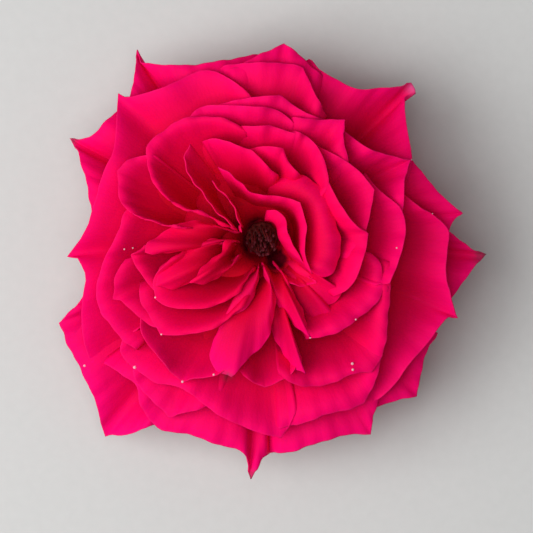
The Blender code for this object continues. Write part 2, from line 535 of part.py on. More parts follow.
def sepal_surface(turn):
    """A keeled blade along its spine, bent down from the hip until its point touches the surface below."""
    rows = []
    for (r, z), half in zip(SEPAL_SPINE, SEPAL_HALF_WIDTH):
        row = []
        for side in (-1.0, -0.5, 0.0, 0.5, 1.0):
            keel = -SEPAL_KEEL * side ** 2 * min(half / 3.0, 1.0)
            if z < 1.0:
                keel = 0.0
            across = side * half
            row.append((r * cos(turn) - across * sin(turn), r * sin(turn) + across * cos(turn), z + keel))
        rows.append(row)
    return np.array(rows)[:, ::-1]


def add_calyx():
    hip = mesh_object("calyx", *revolved(HIP_OUTLINE, HIP_SIDES))
    pieces = new_collection("sepal_pieces")
    for i in range(SEPAL_COUNT):
        turn = radians(SEPAL_FIRST_TURN + i * 360 / SEPAL_COUNT)
        points, faces = slab(sepal_surface(turn), SEPAL_THICK)
        points[:, 2] = np.maximum(points[:, 2], 0.0)
        mesh_object(f"sepal_{i + 1}", points, faces, pieces)
    finish(joined(hip, pieces, "MANIFOLD"), material("calyx", CALYX_COLOUR, 0.6))


def tube(path, radius, sides):
    """Points and faces of a thin closed rod along a path."""
    points = []
    for x, y, z in path:
        points += [(x + radius * cos(k * 2 * pi / sides), y + radius * sin(k * 2 * pi / sides), z)
                   for k in range(sides)]
    faces = [tuple(range(sides))[::-1]]
    for i in range(len(path) - 1):
        for k in range(sides):
            j = (k + 1) % sides
            a = i * sides
            b = a + sides
            faces.append((a + k, a + j, b + j))
            faces.append((a + k, b + j, b + k))
    faces.append(tuple(range((len(path) - 1) * sides, len(path) * sides)))
    return points, faces


def bead(centre, turn, lean):
    """An anther: a small six-sided bead, longer across than it is thick."""
    points = []
    for k in range(6):
        angle = k * pi / 3
        u = ANTHER_LENGTH / 2 * cos(angle)
        v = ANTHER_WIDTH / 2 * sin(angle)
        points.append((centre[0] + u * cos(turn) - v * sin(turn), centre[1] + u * sin(turn) + v * cos(turn),
                       centre[2] + lean * u))
    points.append((centre[0], centre[1], centre[2] + 0.5))
    points.append((centre[0], centre[1], centre[2] - 0.5))
    faces = []
    for k in range(6):
        j = (k + 1) % 6
        faces.append((k, j, 6))
        faces.append((j, k, 7))
    return points, faces


def stamen_path(ring, i, shares):
    """A filament that rises from its ring and bends over to one side, more or less by a fixed rule."""
    radius, count, height = STAMEN_RINGS[ring]
    turn = 2 * pi * (i + 0.31 * ring) / count
    root = np.array([radius * cos(turn), radius * sin(turn)])
    bend = 1 + 0.5 * cos(3.0 * i + ring)
    tip = root + bend * np.array(STAMEN_LEAN) + [0.9 * sin(5.0 * i + 2.0 * ring), 0.6 * cos(7.0 * i)]
    tip = tip * min(1.0, STAMEN_REACH / np.linalg.norm(tip))
    tall = height * (1 + 0.12 * sin(5.0 * i + ring))
    shares = np.asarray(shares)[:, None]
    return np.hstack([root + (tip - root) * shares ** 1.8, FILAMENT_ROOT + tall * shares])


def add_stamens():
    disc = mesh_object("stamens", *revolved(DISC_OUTLINE, DISC_SIDES))
    pieces = new_collection("stamen_pieces")
    for ring, (_, count, _) in enumerate(STAMEN_RINGS):
        for i in range(count):
            path = stamen_path(ring, i, FILAMENT_STATIONS)
            mesh_object(f"filament_{ring}_{i}", *tube(path, FILAMENT_RADIUS, 5), pieces)
            mesh_object(f"anther_{ring}_{i}", *bead(path[-1], 0.9 * i, 0.2), pieces)
    finish(joined(disc, pieces, "MANIFOLD"), material("stamens", STAMEN_COLOUR, 0.6))


def add_petals():
    core = mesh_object("petals", *revolved(CORE_OUTLINE, CORE_SIDES))
    pieces = new_collection("petal_pieces")
    for row in PETALS:
        stations = STATIONS if row in GUARD_PETALS + OUTER_PETALS else INNER_STATIONS
        grid = petal_surface(row, row["cells"], stations)
        mesh_object(row["name"], *slab(grid, PETAL_THICK), pieces)
    finish(joined(core, pieces, "MANIFOLD"), material("petals", PETAL_COLOUR, 0.6))


def main():
    clear_scene()
    add_stem()
    add_calyx()
    add_stamens()
    add_petals()


main()
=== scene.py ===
"""A picked garden rose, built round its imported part: fine petals, calyx, stem, stamens and a plain stage."""

import json
from math import cos, pi, radians, sin

import bpy
import numpy as np
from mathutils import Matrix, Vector
from mathutils.bvhtree import BVHTree

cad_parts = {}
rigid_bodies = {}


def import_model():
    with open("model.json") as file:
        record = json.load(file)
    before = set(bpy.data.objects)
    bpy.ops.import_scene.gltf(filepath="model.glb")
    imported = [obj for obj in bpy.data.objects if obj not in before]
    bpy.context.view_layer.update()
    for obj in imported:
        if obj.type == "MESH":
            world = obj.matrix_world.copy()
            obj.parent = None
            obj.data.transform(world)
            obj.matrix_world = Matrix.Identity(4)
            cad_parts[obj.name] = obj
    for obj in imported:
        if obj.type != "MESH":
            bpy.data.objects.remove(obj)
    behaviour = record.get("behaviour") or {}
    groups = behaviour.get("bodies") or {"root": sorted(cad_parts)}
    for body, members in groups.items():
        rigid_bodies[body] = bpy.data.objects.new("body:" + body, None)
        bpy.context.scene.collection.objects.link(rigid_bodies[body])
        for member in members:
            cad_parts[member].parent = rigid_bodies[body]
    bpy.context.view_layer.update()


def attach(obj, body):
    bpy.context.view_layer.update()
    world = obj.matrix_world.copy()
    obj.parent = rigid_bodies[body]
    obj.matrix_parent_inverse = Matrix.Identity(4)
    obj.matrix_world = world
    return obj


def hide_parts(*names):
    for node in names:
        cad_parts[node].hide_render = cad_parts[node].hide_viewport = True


bl_info = {
    "name": "Garden rose",
    "version": (1, 0, 0),
    "blender": (4, 5, 0),
    "location": "View3D > Sidebar > Rose",
    "description": "Builds a picked garden rose round its packed part",
    "category": "Add Mesh",
}

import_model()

MM = 0.001

# Where the eye of the bloom stands in the part's frame
EYE_X = -2.75
EYE_Y = 5.89

# Stem, in mm: cells along and around, the height of its waves and their turn per mm, ribs and their share
STEM_RADIUS_FOOT = 2.5
STEM_RADIUS_TOP = 2.8
STEM_TOP = 8.7
STEM_CELLS = (40, 64)
STEM_WAVE = (0.05, 1.9)
STEM_RIBS = (7, 0.012)

# Hip under the petals: radius and height of its outline, cells along and around, ribs and their share
HIP_OUTLINE = [(3.1, 9.0), (4.6, 10.4), (5.5, 12.6), (5.3, 15.0), (4.7, 16.6), (5.6, 17.6), (5.8, 18.2)]
HIP_CELLS = (60, 80)
HIP_RIBS = (5, 0.025)

# Sepals, each with a keel that fades towards its tip, a wavy edge and a twist that grows to its full share
SEPAL_COUNT = 5
SEPAL_FIRST_TURN = 20.0
SEPAL_SPINE = [(3.6, 17.2), (7.5, 17.0), (12.0, 14.2), (16.5, 9.8), (20.5, 5.0), (24.0, 0.25)]
SEPAL_HALF_WIDTH = [3.0, 3.6, 3.4, 2.6, 1.5, 0.4]
SEPAL_CELLS = (48, 20)
SEPAL_KEEL = 0.8
SEPAL_KEEL_WIDTH = 3.0
SEPAL_KEEL_FADE = 2.0
SEPAL_EDGE_WAVE = (0.05, 40)
SEPAL_TWIST = (0.18, 22)
SEPAL_TWIST_FULL = 0.25

# Core that holds the claws of the petals, with a hollow for the stamens
CORE_OUTLINE = [(5.6, 18.5), (7.8, 19.3), (8.4, 21.2), (13.0, 23.2), (18.0, 25.0), (19.5, 27.0),
                (18.0, 29.5), (13.0, 31.5), (9.5, 32.0), (7.0, 30.0), (5.2, 25.5), (4.5, 23.2)]
CORE_CELLS = (80, 96)
CORE_RIBS = (11, 0.02)

# The core's map on the petals' look: its width per radian round the core, and how its share along grows
CORE_MAP_TURN = 0.08
CORE_MAP_REACH = 40.0
CORE_MAP_TOP = 0.5

# Disc under the stamens
DISC_OUTLINE = [(3.9, 23.3), (4.0, 23.9), (2.6, 24.6)]
DISC_CELLS = (12, 48)
DISC_RIBS = (12, 0.03)

# Stamens: rings of threads as radius, count and height, their mean lean and how far out they may reach, the
# height of their roots, and by how much one thread differs from the next
STAMEN_RINGS = [(0.5, 4, 6.6), (1.3, 8, 7.0), (2.2, 12, 7.0), (3.2, 15, 6.2)]
STAMEN_LEAN = (0.4, -2.3)
STAMEN_REACH = 4.2
FILAMENT_ROOT = 23.7
THREAD_RADII = (0.276, 0.18)
THREAD_LINES = 14
THREAD_SIDES = 8
THREAD_STAGGER = 0.31
THREAD_LEAN_CHANGE = 0.5
THREAD_STRAY = (0.9, 0.6)
THREAD_HEIGHT_CHANGE = 0.12
THREAD_BEND = 1.8

# Heads of the stamens: from the middle to the top end, and the radius
HEAD_HALF = (0.0, -0.3, 0.34)
HEAD_RADIUS = 0.36
HEAD_LINES = 9
HEAD_SIDES = 10

# How far towards a point a bead's ends close
BEAD_CLOSED = 0.98

# Dome that the rims lie on, in mm: its height at the eye and how it falls outwards, the dip at the eye, and
# how its middle moves off
DOME_TOP = 45.0
DOME_FALL = 30.0
DOME_REACH = 60.0
DOME_POWER = 2.2
DOME_DIP = 5.0
DOME_DIP_REACH = 12.0
DOME_SHIFT = (1.5, -3.0)
DOME_SHIFT_REACH = 45.0

# How a petal's drop, dive, bow, fold and curl change towards its margins, and its wave towards its claw
DROP_POWER = 2.5
DIVE_POWER = 10
BOW_WIDTH = 0.2
FOLD_WIDTH = 0.4
CURL_WIDTH = 0.15
WAVE_FADE = 0.5
WAVE_POWER = 1.5

# Claws: radius and height, each for a rim at the eye and its growth out to the dome's reach, and those of
# the guard petals, which stand lower
CLAW_RADIUS = (4.9, 9.5)
CLAW_HEIGHT = (25.0, 1.0)
GUARD_CLAW_RADIUS = 6.6
GUARD_CLAW_HEIGHT = 19.6
GUARD_CLAW_SPREAD = 0.8

# First steepness of a petal in degrees, by how many mm its rim lies from the eye
STEEPNESS_AT = [5, 10, 20, 30, 40, 50, 60]
STEEPNESS = [89, 86, 72, 52, 28, 15, 8]
STEEPNESS_LIMITS = (3, 92)

# Fineness and rounding of the lines, and where along a petal its line bends to the pointed rim
RIM_STEPS = 96
RIM_ROUNDING = 3.0
RIM_ROUNDS = (4, 60)
LINE_STEPS = 24
POINT_FROM = 0.55
STATION_POWER = 1.25

# Ripples of a petal start at this share of its length; each wave has its share of the height, its length
# in mm per radian, its shift from petal to petal and its slant along the petal
RIPPLE_FROM = 0.35
RIPPLE_POWER = 1.5
RIPPLE_WAVES = [(1.0, 1.7, 2.4, 2.0), (0.55, 0.71, 1.3, -3.0)]

# Millimetres in one unit of a petal's map
MAP_UNIT = 100.0

# How each kind of petal runs from claw to rim: drop of its margins, dive of their very ends and bow of both
# its sides, height of its waves, change of its first steepness, reach of the first handle, how far back and
# how deep its waist lies, slope at the rim and last handle
KIND_VALUES = ("drop", "dive", "bow", "wave", "rise", "first", "back", "waist", "slope", "last")
KINDS = {
    "tile": (2.5, 4.0, 0.0, 0.8, -6.0, 0.36, 0.3, 3.5, -22.0, 0.15),
    "shelf": (2.5, 4.0, 0.0, 0.7, -8.0, 0.35, 0.25, 6.0, -10.0, 0.14),
    "rising": (1.5, 3.0, 0.0, 0.6, -10.0, 0.34, 0.28, 7.0, 8.0, 0.16),
    "cup": (0.5, 1.0, 0.0, 0.5, -20.0, 0.32, 0.25, 9.0, -22.0, 0.17),
    "bowl": (0.5, 2.0, 0.0, 0.5, -14.0, 0.3, 0.25, 9.0, 18.0, 0.1),
    "roll": (2.0, 3.0, 0.0, 0.3, 10.0, 0.45, 0.5, -4.0, -55.0, 0.2),
    "ridge": (3.0, 0.0, 6.0, 0.2, 32.0, 0.6, 0.5, -5.0, -30.0, 0.13),
    "page": (0.0, 0.0, 0.0, 0.4, -8.0, 0.35, 0.2, 7.0, 30.0, 0.13),
}


def petal(name, kind, lift, tip, rim, **changes):
    """One petal, lifted off the dome: its rim is a line in plan, clockwise, in mm from the eye.

    The rim is pointed at the place that tip counts to.
    """
    row = dict(zip(KIND_VALUES, KINDS[kind]), name=name, lift=lift, tip=tip, rim=rim)
    return dict(row, **changes)


def guard(name, lift, tip, rim, **changes):
    """One outside petal, with a fold that runs in from its point."""
    return petal(name, "tile", lift, tip, rim, drop=1.5, fold=1.0, curl=-0.5, **changes)


# The pointed petals of the outside ring
GUARD_PETALS = [
    guard("guard_right", -2.0, 4, [(42, 4), (47, 1.5), (50, -1), (53.5, -3), (56.25, -4), (54, -6.25),
        (50.75, -10.5), (47.5, -15), (43, -20)], waist=3.0, slope=-6.0),
    guard("guard_upper_right", -0.5, 4, [(34, 23), (37.5, 19.5), (42, 13.75), (47, 8.75), (50.25, 6.25),
        (48.25, 4.75), (46, 0)], waist=3.0, slope=-6.0),
    guard("guard_top_right", 0.0, 7, [(9.5, 43), (11.75, 45), (14.5, 42), (19, 39.5), (23.5, 37.25),
        (29.5, 37.5), (34.25, 38), (37.5, 39), (38.5, 36.4), (36, 34.8), (36, 29.5), (36.75, 24.5),
        (37.5, 19.5), (36, 14)], waist=4.0, slope=0.0),
    guard("guard_top_left", -1.0, 2, [(-34, 31), (-32, 41), (-31.5, 47.5), (-30.25, 44.5), (-27.5, 43.75),
        (-20.5, 43.25), (-11.75, 44), (-4.25, 45.5), (0, 46)]),
    guard("guard_top", 1.0, 2, [(-9.25, 41.5), (0, 46), (5.5, 48.75), (11, 44.25), (15.75, 39.5)]),
    guard("guard_upper_left", -1.0, 5, [(-42.5, 5), (-43, 10), (-44, 14.5), (-45.25, 18.25), (-46.25, 22),
        (-48.25, 25), (-43.5, 25.25), (-39.75, 28.5), (-35, 33)]),
    guard("guard_lower_left", -1.0, 3, [(-26, -46), (-34.25, -49.5), (-38, -49.5), (-39.5, -50),
        (-40.5, -46.75), (-41.25, -43), (-43, -38), (-45.5, -33), (-47.5, -29), (-49.4, -25),
        (-49.8, -22.6), (-47, -18), (-43, -14)]),
    guard("guard_left_point", -2.0, 4, [(-43, -36), (-46, -31.5), (-48, -27.5), (-49.6, -24.2),
        (-50.8, -21.2), (-48.6, -18.8), (-46, -16.3), (-44, -13), (-42.5, -9)]),
    guard("guard_bottom_right", -1.0, 3, [(30, -36), (28.5, -42.5), (27.75, -45.5), (27.25, -49),
        (22, -49.25), (17, -50.25), (12, -52), (8.25, -53.25), (1, -54)]),
    guard("guard_lower_right", -2.0, 4, [(44, -24), (41.5, -28), (40, -32), (39.5, -35.5), (38.75, -39.75),
        (34.5, -40.25), (30.75, -41.75), (27, -42.5)]),
    guard("guard_bottom", 0.0, 2, [(2, -54), (0, -55.5), (-2.75, -60.5), (-4.75, -53.75), (-10, -52),
        (-15.5, -50), (-20.5, -48.75), (-25, -48), (-27.25, -46.75), (-29, -44.25), (-30.75, -40.5),
        (-31.25, -37.25), (-35.5, -33.75), (-40.5, -31)]),
]

# The broad petals inside the guard petals
OUTER_PETALS = [
    petal("outer_top", "tile", 0.5, 4, [(-12.25, 40.5), (-9.25, 43), (0, 43.75), (7, 43.5), (10.25, 42.5),
        (12.5, 37.5), (14.5, 33.25), (16.25, 30.25)]),
    petal("outer_left", "tile", 0.5, 16, [(-42, -34), (-44.4, -27), (-45.2, -20), (-44.6, -13.5),
        (-44, -9.75), (-45.25, -6.5), (-46.75, -4.5), (-49, -5.25), (-47.5, -3), (-45.5, -0.5),
        (-43.5, 3.25), (-42.25, 7.5), (-41.25, 10), (-40.75, 13), (-39, 17.75), (-37.25, 21), (-36, 36.25),
        (-33.5, 35.25), (-29.25, 36.25), (-24.25, 37.75), (-19.25, 40.25), (-15.5, 41.75), (-12, 41.75),
        (-8.5, 40), (-5.25, 37.75), (-2.5, 35), (0, 31)], rise=-14.0, waist=5.0, slope=-16.0),
    petal("outer_right", "rising", 0.0, 9, [(34, 12), (36.75, 9.75), (39.5, 7.75), (42.5, 5.75),
        (45.5, 3.5), (46.75, 1.5), (46.25, -3), (46, -9.25), (47.25, -15), (49, -20), (46.75, -19.5),
        (44.5, -22), (42, -25.5), (37, -31.25), (32.75, -37), (28.75, -40.5), (26, -41)]),
    petal("left_cup", "cup", -0.5, 1, [(-31, -28), (-34.75, -25.75), (-38, -21.25), (-40.25, -18.75),
        (-41.25, -15), (-41, -11), (-40.25, -8), (-39.25, -5), (-37.5, -2), (-35.5, 2.5), (-33.75, 6.75),
        (-30, 7)], dive=5.0),
    petal("lower_right", "cup", 0.0, 6, [(32.5, -6), (31.75, -13), (31.5, -18), (30.75, -25.5), (29, -33),
        (27, -38.75), (25.5, -41.25), (20.75, -43), (14.5, -44.5), (9.5, -46.5), (4, -47.5)], rise=-14.0,
        waist=7.0, slope=-36.0, last=0.2),
    petal("bottom_apron", "tile", -0.5, 2, [(9, -42), (7, -46.75), (4.75, -50), (-0.5, -48.6),
        (-5.5, -46.75), (-11.75, -43.5), (-15.5, -40.75), (-18, -38.5), (-21.75, -36.9), (-26.25, -36.25),
        (-29.25, -34.25), (-33, -31.75), (-35.25, -28.5), (-34.5, -25), (-31, -23)], drop=2.0, dive=1.5,
        waist=7.5),
    petal("lower_left_apron", "tile", -0.8, 3, [(-9, -40), (-15.5, -42.7), (-20.5, -43.9), (-23.25, -45),
        (-25, -42.8), (-27, -41), (-30.5, -37.5), (-32, -34), (-32, -29)], waist=5.0),
]

# The petals above and to the right of the eye
UPPER_PETALS = [
    petal("top_sliver", "shelf", 0.0, 2, [(-12, 33), (-2.5, 35), (4.5, 35.5), (10.75, 31.25), (17, 29)]),
    petal("top_band", "shelf", 0.0, 3, [(-20, 27.5), (-15.5, 32.5), (-9, 33), (-3, 32.75), (3.25, 32),
        (7, 29.5), (9, 26.25)]),
    petal("upper_right", "rising", 0.0, 3, [(20, 27), (25.75, 22.75), (30.75, 20.75), (37.25, 19.5),
        (35.75, 15.75), (35.25, 8.25), (34, 2)], slope=0.0),
    petal("upper_right_inner", "tile", 0.5, 2, [(6, 30), (13.25, 29.5), (20.75, 29.25), (20.25, 25.75),
        (21.25, 19.5), (22.5, 16)]),
    petal("right_band", "rising", 0.0, 7, [(25.75, 16), (29.5, 11.5), (32.25, 9.5), (34.5, 7.5), (35.75, 3),
        (35.25, -1.75), (33.5, -7), (31.8, -11.3), (27, -12)]),
    petal("top_mid", "shelf", 0.0, 2, [(-8, 28), (-1.75, 27.75), (2, 28), (7, 26.25), (9.5, 25.75),
        (12, 24)]),
    petal("top_wedge", "shelf", 0.0, 2, [(7, 26.5), (9, 26.3), (11.2, 25.3), (13.5, 23), (15.2, 20),
        (16.1, 17), (16.6, 13.9), (15.2, 10.5), (13, 8)]),
    petal("top_inner", "shelf", 0.0, 2, [(-3.5, 22), (0.5, 22.75), (5.25, 22.25), (6.25, 19.5),
        (7.75, 17.5), (10, 15)]),
    petal("top_left_inner", "shelf", 0.0, 3, [(-15, 24), (-11.75, 24.75), (-7.5, 23.5), (-4.25, 22.25),
        (-2.25, 21.5), (0, 19.25), (2, 17.25), (4.25, 15)]),
    petal("right_high", "rising", 0.0, 4, [(12, 24.5), (14, 22.75), (19.5, 20), (24.5, 16.2), (28, 12),
        (27.25, 8.25), (26.6, 4.5), (25.4, 0.5), (23, -4), (20, -7)], dive=8.0),
    petal("right_inner", "rising", 1.2, 5, [(14.5, 17.5), (16.8, 13.5), (18.2, 10.6), (20, 7.4),
        (22.8, 3.8), (26.4, 1.1), (25.8, -3), (24.6, -7), (23.2, -10.4), (21, -13), (17.5, -14.5)],
        drop=3.0),
    petal("right_low", "roll", -0.5, 5, [(25, -3), (28.6, -5.4), (30.2, -9.5), (29.9, -13.5), (27.2, -17.5),
        (23.5, -20.4), (20.75, -22.25), (17, -24.25), (11, -25)], slope=-30.0, back=0.25, waist=7.0,
        rise=-18.0, first=0.32),
]

# The cupped petals below and to the left of the eye
LOWER_PETALS = [
    petal("bottom_crescent", "cup", 0.0, 4, [(31, -11), (31.3, -17), (30.9, -24), (29.6, -30),
        (27.2, -33.3), (22.5, -34), (18, -35.8), (14, -37), (9, -36.6), (4, -34)], waist=9.0, slope=-30.0),
    petal("lower_left_cup", "bowl", 0.5, 4, [(-3, -30), (-8, -32.6), (-12.5, -34.4), (-16, -35),
        (-19.8, -36), (-23, -33), (-26, -29.5), (-28.5, -26.25), (-30, -23.75), (-30.4, -20.5), (-29, -13)],
        drop=3.5, dive=4.0, waist=11.0),
    petal("bottom_cup", "bowl", -1.0, 3, [(9, -30), (8, -33.4), (4.5, -35.5), (0.75, -37.25),
        (-1.25, -36.5), (-3, -35.5), (-5.75, -33)], waist=11.0),
    petal("page_low", "cup", -1.0, 4, [(-24, -15.5), (-27.5, -12.5), (-29.25, -10), (-31, -7.5),
        (-32.75, -4.5), (-29, -2)]),
    petal("page_under", "cup", -0.5, 5, [(-1.75, -13), (-5.5, -17.5), (-10.5, -21.75), (-15.5, -23.5),
        (-21.75, -24.25), (-25.25, -24), (-27.5, -20.5), (-28.75, -18), (-30.25, -15.5), (-30.5, -11)],
        dive=4.0, waist=5.0),
    petal("page_shelf", "cup", -1.0, 5, [(-22, -23), (-28, -21.75), (-30.5, -19.75), (-33, -17.5),
        (-35.5, -15.5), (-37.25, -15.25), (-36.75, -12.5), (-36.5, -9.5), (-34, -5)], waist=6.0),
]

# The petals to the left of the eye, folded like the pages of a book
PAGE_PETALS = [
    petal("page_outer", "cup", 0.0, 6, [(-19, 2.5), (-25, 3.25), (-30, 5), (-33.5, 7), (-35.5, 9.75),
        (-35.75, 12), (-36, 16.75), (-33, 19.5), (-27, 21)], waist=11.0),
    petal("page_big", "cup", 0.0, 3, [(-6.75, 2.25), (-9.25, 3), (-14.25, 6), (-19.25, 7), (-21.5, 8.25),
        (-25, 11), (-27.5, 15), (-28.75, 19.5), (-28.25, 23.25), (-25.5, 26), (-21, 29), (-15.5, 30.25),
        (-9.25, 29.5), (-4, 27)], waist=12.0, slope=-38.0),
    petal("page_wall", "page", 0.5, None, [(-7.5, 2.75), (-11, 6.5), (-14.75, 10.75), (-17.5, 15),
        (-19.5, 19.75), (-17.75, 23.25)]),
    petal("page_thin", "page", 0.0, None, [(-4.75, 1.5), (-5.75, 4.25), (-7.25, 7.5), (-8.75, 10.25),
        (-10.75, 12.5), (-12.5, 14)]),
    petal("page_fold", "ridge", 0.0, 4, [(-5.5, -1), (-10.5, -0.4), (-17.4, -1.8), (-22.4, -3.8),
        (-29, -3.6), (-28.6, -1.4), (-25, 1), (-21.75, 2.8), (-16.75, 4.4), (-12.4, 3), (-6, 1.5)],
        bow=4.0),
    petal("spoon", "shelf", 0.0, 5, [(-2, -8), (-6.75, -14.25), (-13, -17.25), (-19.25, -17.6),
        (-24, -16.9), (-26.4, -15.2), (-27, -10.5), (-25, -7.4), (-22, -5), (-19, -2.5)], waist=3.5),
    petal("spoon_inner", "ridge", 0.0, 5, [(-7.5, -6), (-9.9, -7.3), (-13, -8.9), (-16.75, -10.6),
        (-21.75, -12.4), (-26.4, -12), (-25.6, -8.4), (-22.8, -5.4), (-19.25, -3), (-14.9, -1.7),
        (-10.5, -1.4), (-7.5, -2)], bow=4.0),
    petal("spoon_tongue", "ridge", 2.0, 4, [(-6.8, -5), (-8, -7), (-9.8, -9.3), (-13, -10.9), (-18, -11.2),
        (-15.4, -8.2), (-12.4, -5.6), (-10.2, -3.4), (-9.2, -0.6), (-7, -1)], bow=3.0),
]

# The petals that stand round the eye
HEART_PETALS = [
    petal("eye_right_band", "roll", -2.5, 8, [(2, 15.2), (7, 15.8), (10.6, 15.2), (13.6, 13.6),
        (15.9, 10.75), (17.4, 7), (18.7, 2.6), (19.4, -3), (18.8, -6.8), (17, -9), (14.5, -9.6),
        (12, -8.5)], drop=4.0),
    petal("eye_top", "page", 0.0, 6, [(-11, 17.5), (-8, 16.25), (-5.5, 13.75), (-3, 11.25), (0, 10.75),
        (4.5, 10.25), (9.6, 8.8), (11, 3.25), (10.7, -1.75), (11.2, -6), (12.4, -9)], waist=4.0,
        slope=20.0),
    petal("eye_ledge", "page", -5.0, 1, [(12, -9.5), (13.6, -11.2), (10, -11.9), (6.4, -11.4)], waist=3.0),
    petal("crumple_inner", "ridge", -3.5, 2, [(12, -12), (16.5, -12.6), (20.4, -13), (17.8, -16.2),
        (12.5, -15.5)], bow=2.5),
    petal("crumple_outer", "ridge", -5.0, None, [(10.5, -16), (14, -16.2), (17.4, -17.2), (18.4, -19.4),
        (16.4, -21.4), (12.6, -21.2), (9.8, -18.8)], bow=2.0, wave=0.6),
    petal("eye_roll", "tile", 0.0, None, [(1.2, 6.8), (2.6, 6.9), (4.2, 6.4), (5.6, 5.2), (6.3, 3.4),
        (6.5, 0.8), (7.8, -2.1), (9.8, -4.9), (11.6, -7.6)], dive=3.0, waist=2.5, lean=5.0, slope=25.0),
    petal("spear", "ridge", 0.0, 4, [(3, -6.5), (5.75, -9.9), (8.6, -14.9), (10.4, -19.9), (12.1, -24.75),
        (9.3, -22.4), (6.4, -19.9), (3.9, -16.75), (3.2, -13.5), (1.6, -9.9), (0, -6.75)], bow=5.0),
    petal("bottom_fold", "ridge", 0.0, 4, [(3.9, -18.6), (5.4, -21.4), (7.3, -25.2), (9.2, -29.25),
        (10.9, -33.75), (7.6, -32), (5.4, -29.25), (3.6, -25.5), (2.6, -22.7), (2.4, -19)]),
    petal("tongue", "ridge", 0.5, 7, [(0.5, -8.5), (2.5, -13), (3.25, -16.75), (2.75, -20.5), (1.5, -24.5),
        (-1, -28), (-4, -30.5), (-7.5, -34.5), (-11.5, -33), (-12.75, -29.25), (-12.25, -26.25),
        (-10.75, -22.5), (-8, -20), (-3.5, -16.75), (-1.25, -12.5), (-1, -8.5)], bow=3.0),
]

PETALS = GUARD_PETALS + OUTER_PETALS + UPPER_PETALS + LOWER_PETALS + PAGE_PETALS + HEART_PETALS

# Places with dry, browned petal tissue: x, y in mm from the eye and the radius of the spot
DRY_SPOTS = [(55.8, -3.9, 2.6), (-8.6, -34.3, 1.1), (-47.8, 24.8, 1.4), (-2.7, -60.0, 1.6)]

# Where a corner is rolled over and shows its paler back, in a colour that also paints a highlight on it: x, y
# in mm from the eye and the radius of the spot
ROLLED_TIPS = [(37.9, 37.6, 1.7)]
ROLLED_BACK_HIGHLIGHT_COLOUR = (0.95, 0.10, 0.32, 1.0)

# Layers with a cooler pink than their distance from the eye gives, and by what share of the way outwards
COOLER_LAYERS = {"upper_petals": 0.25, "heart_petals": 0.4}

# Layers darkened by painted shade, and their share of the full brightness
SHADED_LAYERS = {"page_petals": 0.93, "lower_petals": 0.91}

# Where painted shade darkens the deep eye of the bloom: x, y in mm from the eye and the radius of the spot
THROAT_SHADE_SPOTS = [(-0.5, 0.0, 5.0), (3.6, -5.4, 2.9)]
# Colour of the painted shade in the eye
THROAT_SHADE_COLOUR = (0.10, 0.0, 0.008, 1.0)

# Petal's roughness and shine, and where its colours change: by distance from the eye, from the painted shade
# at the claw to the painted highlight at the rim, and by how near the painted shade of the eye is, each from
# one value to the other
PETAL_SHINE = (0.65, 0.04)
OUTER_FROM_TO = (0.25, 1.0)
CLAW_SHADE_FROM_TO = (0.3, 0.95)
RIM_HIGHLIGHT_FROM_TO = (0.975, 1.0)
THROAT_SHADE_FROM_TO = (0.3, 0.55)
THROAT_SHADE_UP_FROM_TO = (0.5, 0.75)
THROAT_SHADE_RAGGED = (0.75, 1.25)
# Shares of the painted highlight at the rim and of the back's own colour
RIM_HIGHLIGHT_SHARE = 0.12
BACK_SHARE = 0.4

# Petal's veins, mottling, relief and glow of the light inside
VEIN_WANDER = 4.0
VEIN_SHARPNESS = 3.0
VEIN_DARKNESS = 0.03
VEIN_HEIGHT = 0.06
GRAIN_HEIGHT = 0.35
CRINKLE_HEIGHT = 0.9
PETAL_MOTTLE = (0.90, 1.06)
PETAL_BUMP = (0.45, 0.00025)
DRY_PATCHES = (0.35, 0.6, 0.35, 1.0)
GLOW_WEIGHT = 0.12
GLOW_RADIUS = (1.0, 0.05, 0.15)
GLOW_SCALE = 0.0012

# Most of a noise field lies between these two values
NOISE_RANGE = (0.3, 0.7)

# Colours and ranges of the other looks, with heights in metres
BLUSH_COLOUR = (0.24, 0.07, 0.05, 1.0)
WOOD_COLOURS = ((0.55, 0.60, 0.33, 1.0), (0.34, 0.40, 0.17, 1.0))
FIBRE_SCALE = (1.0, 1.0, 0.12)
CUT_FROM_TO = (0.00002, 0.00012)
THREAD_TIP_COLOUR = (0.20, 0.02, 0.025, 1.0)
HEAD_TIP_COLOUR = (0.10, 0.008, 0.016, 1.0)
STAMEN_FROM_TO = (0.024, 0.031)
# Pale pink, only partly clear dew: painted glints and a painted reflection of the petals round it
DEW_GLINT_COLOUR = (1.0, 0.55, 0.68, 1.0)
DEW_CLEARNESS = 0.3
WATER_IOR = 1.33

# Where beads of dew lie: x, y in mm from the eye and the radius of the bead
DEW_PLACES = [(22.5, -31.3, 0.45), (22.6, -32.8, 0.4), (-31.8, -32.3, 0.5), (-19.8, -35.8, 0.4),
              (-12.0, -34.0, 0.35), (-44.5, -32.0, 0.4), (-34.3, -2.8, 0.3), (-32.2, -2.5, 0.28),
              (37.3, 19.5, 0.25), (-26.5, -14.8, 0.3), (-25.0, -24.0, 0.3), (12.0, -24.8, 0.35),
              (33.5, -2.5, 0.28), (42.5, 6.0, 0.25), (23.3, -20.3, 0.3)]

# A bead's true share of that radius, the height of its middle and its flatness, and where it is dropped from
DEW_SHARE = 0.8
DEW_SEAT = 0.25
DEW_FLATNESS = 0.72
DEW_FALL = 0.1
DEW_LINES = 12
DEW_SIDES = 16

# The camera looks straight down, and its picture is this wide where the bloom stands
VIEW_X = 1.125
VIEW_Y = -7.125
VIEW_WIDTH = 133.25
VIEW_HEIGHT = 2000.0
VIEW_FOCUS = 25.0
VIEW_END = 10.0
SENSOR = 36.0

